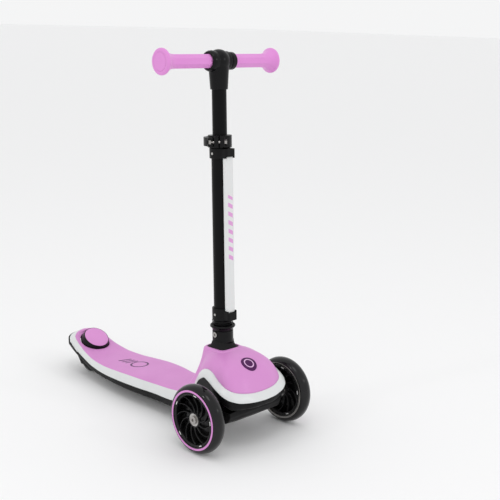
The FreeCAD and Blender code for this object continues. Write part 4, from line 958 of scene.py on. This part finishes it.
# the sleeve's closed section, (radius, up the stem)
sleeveLine = roundedPath([(16.1, 6.3), (18.2, 6.3), (18.9, 9.4), (20.4, 11.6), (22.3, 12.6), (22.3, 15.6),
    (21.2, 16.3), (20.2, 16.1), (19.9, 10.5), (17.6, 9.3), (16.1, 9.3), (16.1, 6.3)], 0.9)
turnedPiece("rolled_sleeve", sleeveLine, foldPin, stemUp, "sleeve", "black_plastic", "blackGloss",
            "lock_sleeve", 120)
bar = {"half": 9.0, "back": -15.3, "front": -24.0, "low": 41.0, "high": 313.0, "round": 2.4}


def lightBar():
    # rounded section (superellipse front, flat back) carried up the stem, drawn in at each end
    angle = fullTurn(56)
    side = bar["half"] * np.sign(np.cos(angle)) * np.abs(np.cos(angle)) ** 0.42
    deep = np.where(np.sin(angle) > 0, np.abs(np.sin(angle)) ** 0.55, -np.abs(np.sin(angle)) ** 0.3)
    middle, depth = (bar["back"] + bar["front"]) / 2, (bar["back"] - bar["front"]) / 2
    ends = np.array([0.0, 0.1, 0.5, 1.2, 2.4])
    drawn = np.array([1.0, 0.62, 0.3, 0.1, 0.0])
    straight = np.linspace(bar["low"] + 6, bar["high"] - 6, 40)
    height = np.r_[bar["low"] + ends, straight, bar["high"] - ends[::-1]]
    pull = np.r_[drawn, 0 * straight, drawn[::-1]] * bar["round"]
    across = side[None] * (1 - pull[:, None] / bar["half"])
    back = middle - depth * deep[None] * (1 - pull[:, None] / depth * 0.8)
    return placeStem(across, back, height[:, None] + 0 * across)


tubePiece("stem_lamp", lightBar(), "stem", "diffuser", "barDiffuser", "stem_light_bar")
print("stem")

# a wide floor, level with the lowest point of the tyres
floorPoints = np.array([[-60, -60, 0], [60, -60, 0], [60, 60, 0], [-60, 60, 0]], float)
floorMesh = bpy.data.meshes.new("floor")
floorMesh.from_pydata(floorPoints.tolist(), [], [(0, 1, 2, 3)])
floor = linked("floor", floorMesh)
floor.location.z = cadBox[0][2]
floorPaint = bpy.data.materials.new("floorPaint")
floorPaint.use_nodes = True
floorLook = {"Base Color": (0.94, 0.94, 0.942, 1), "Roughness": 0.75, "Specular IOR Level": 0.2}
for label, value in floorLook.items():
    floorPaint.node_tree.nodes["Principled BSDF"].inputs[label].default_value = value
floorMesh.materials.append(floorPaint)

# yaw, pitch and roll in degrees, the lens in millimetres
view = {"place": (-1.1274, -1.3509, 0.7140), "yaw": 44.98, "pitch": 13.27, "roll": 1.65, "lens": 69.95}
yaw, pitch, roll = (math.radians(view[k]) for k in ("yaw", "pitch", "roll"))
look = Vector((math.sin(yaw) * math.cos(pitch), math.cos(yaw) * math.cos(pitch), -math.sin(pitch)))
level = look.cross(Vector((0, 0, 1))).normalized()
upward = level.cross(look)
rightAxis = level * math.cos(roll) + upward * math.sin(roll)
upAxis = upward * math.cos(roll) - level * math.sin(roll)
cameraData = bpy.data.cameras.new("camera")
cameraData.lens = view["lens"]
cameraData.sensor_width = 36
camera = linked("camera", cameraData)
turnMatrix = Matrix((rightAxis, upAxis, -look)).transposed().to_4x4()
camera.matrix_world = Matrix.Translation(view["place"]) @ turnMatrix
bpy.context.scene.camera = camera

# place, size in metres, power in watts
lamps = {"overhead": ((-0.5, -0.7, 2.4), 0.7, 4), "left": ((-2.2, 0.3, 1.5), 0.16, 3),
         "front": ((0.9, -2.3, 1.4), 0.16, 3)}
target = Vector((0, 0, 0.25))
for name, (where, size, power) in lamps.items():
    data = bpy.data.lights.new(name, "AREA")
    data.size = size
    data.energy = power
    lamp = linked(name, data)
    lamp.location = where
    lamp.rotation_euler = (target - Vector(where)).to_track_quat("-Z", "Y").to_euler()
world = bpy.data.worlds.new("studio")
world.use_nodes = True
world.node_tree.nodes["Background"].inputs["Color"].default_value = (0.955, 0.957, 0.96, 1)
world.node_tree.nodes["Background"].inputs["Strength"].default_value = 0.955
bpy.context.scene.world = world
bpy.context.scene.view_settings.view_transform = "Standard"
print("camera, floor and light")
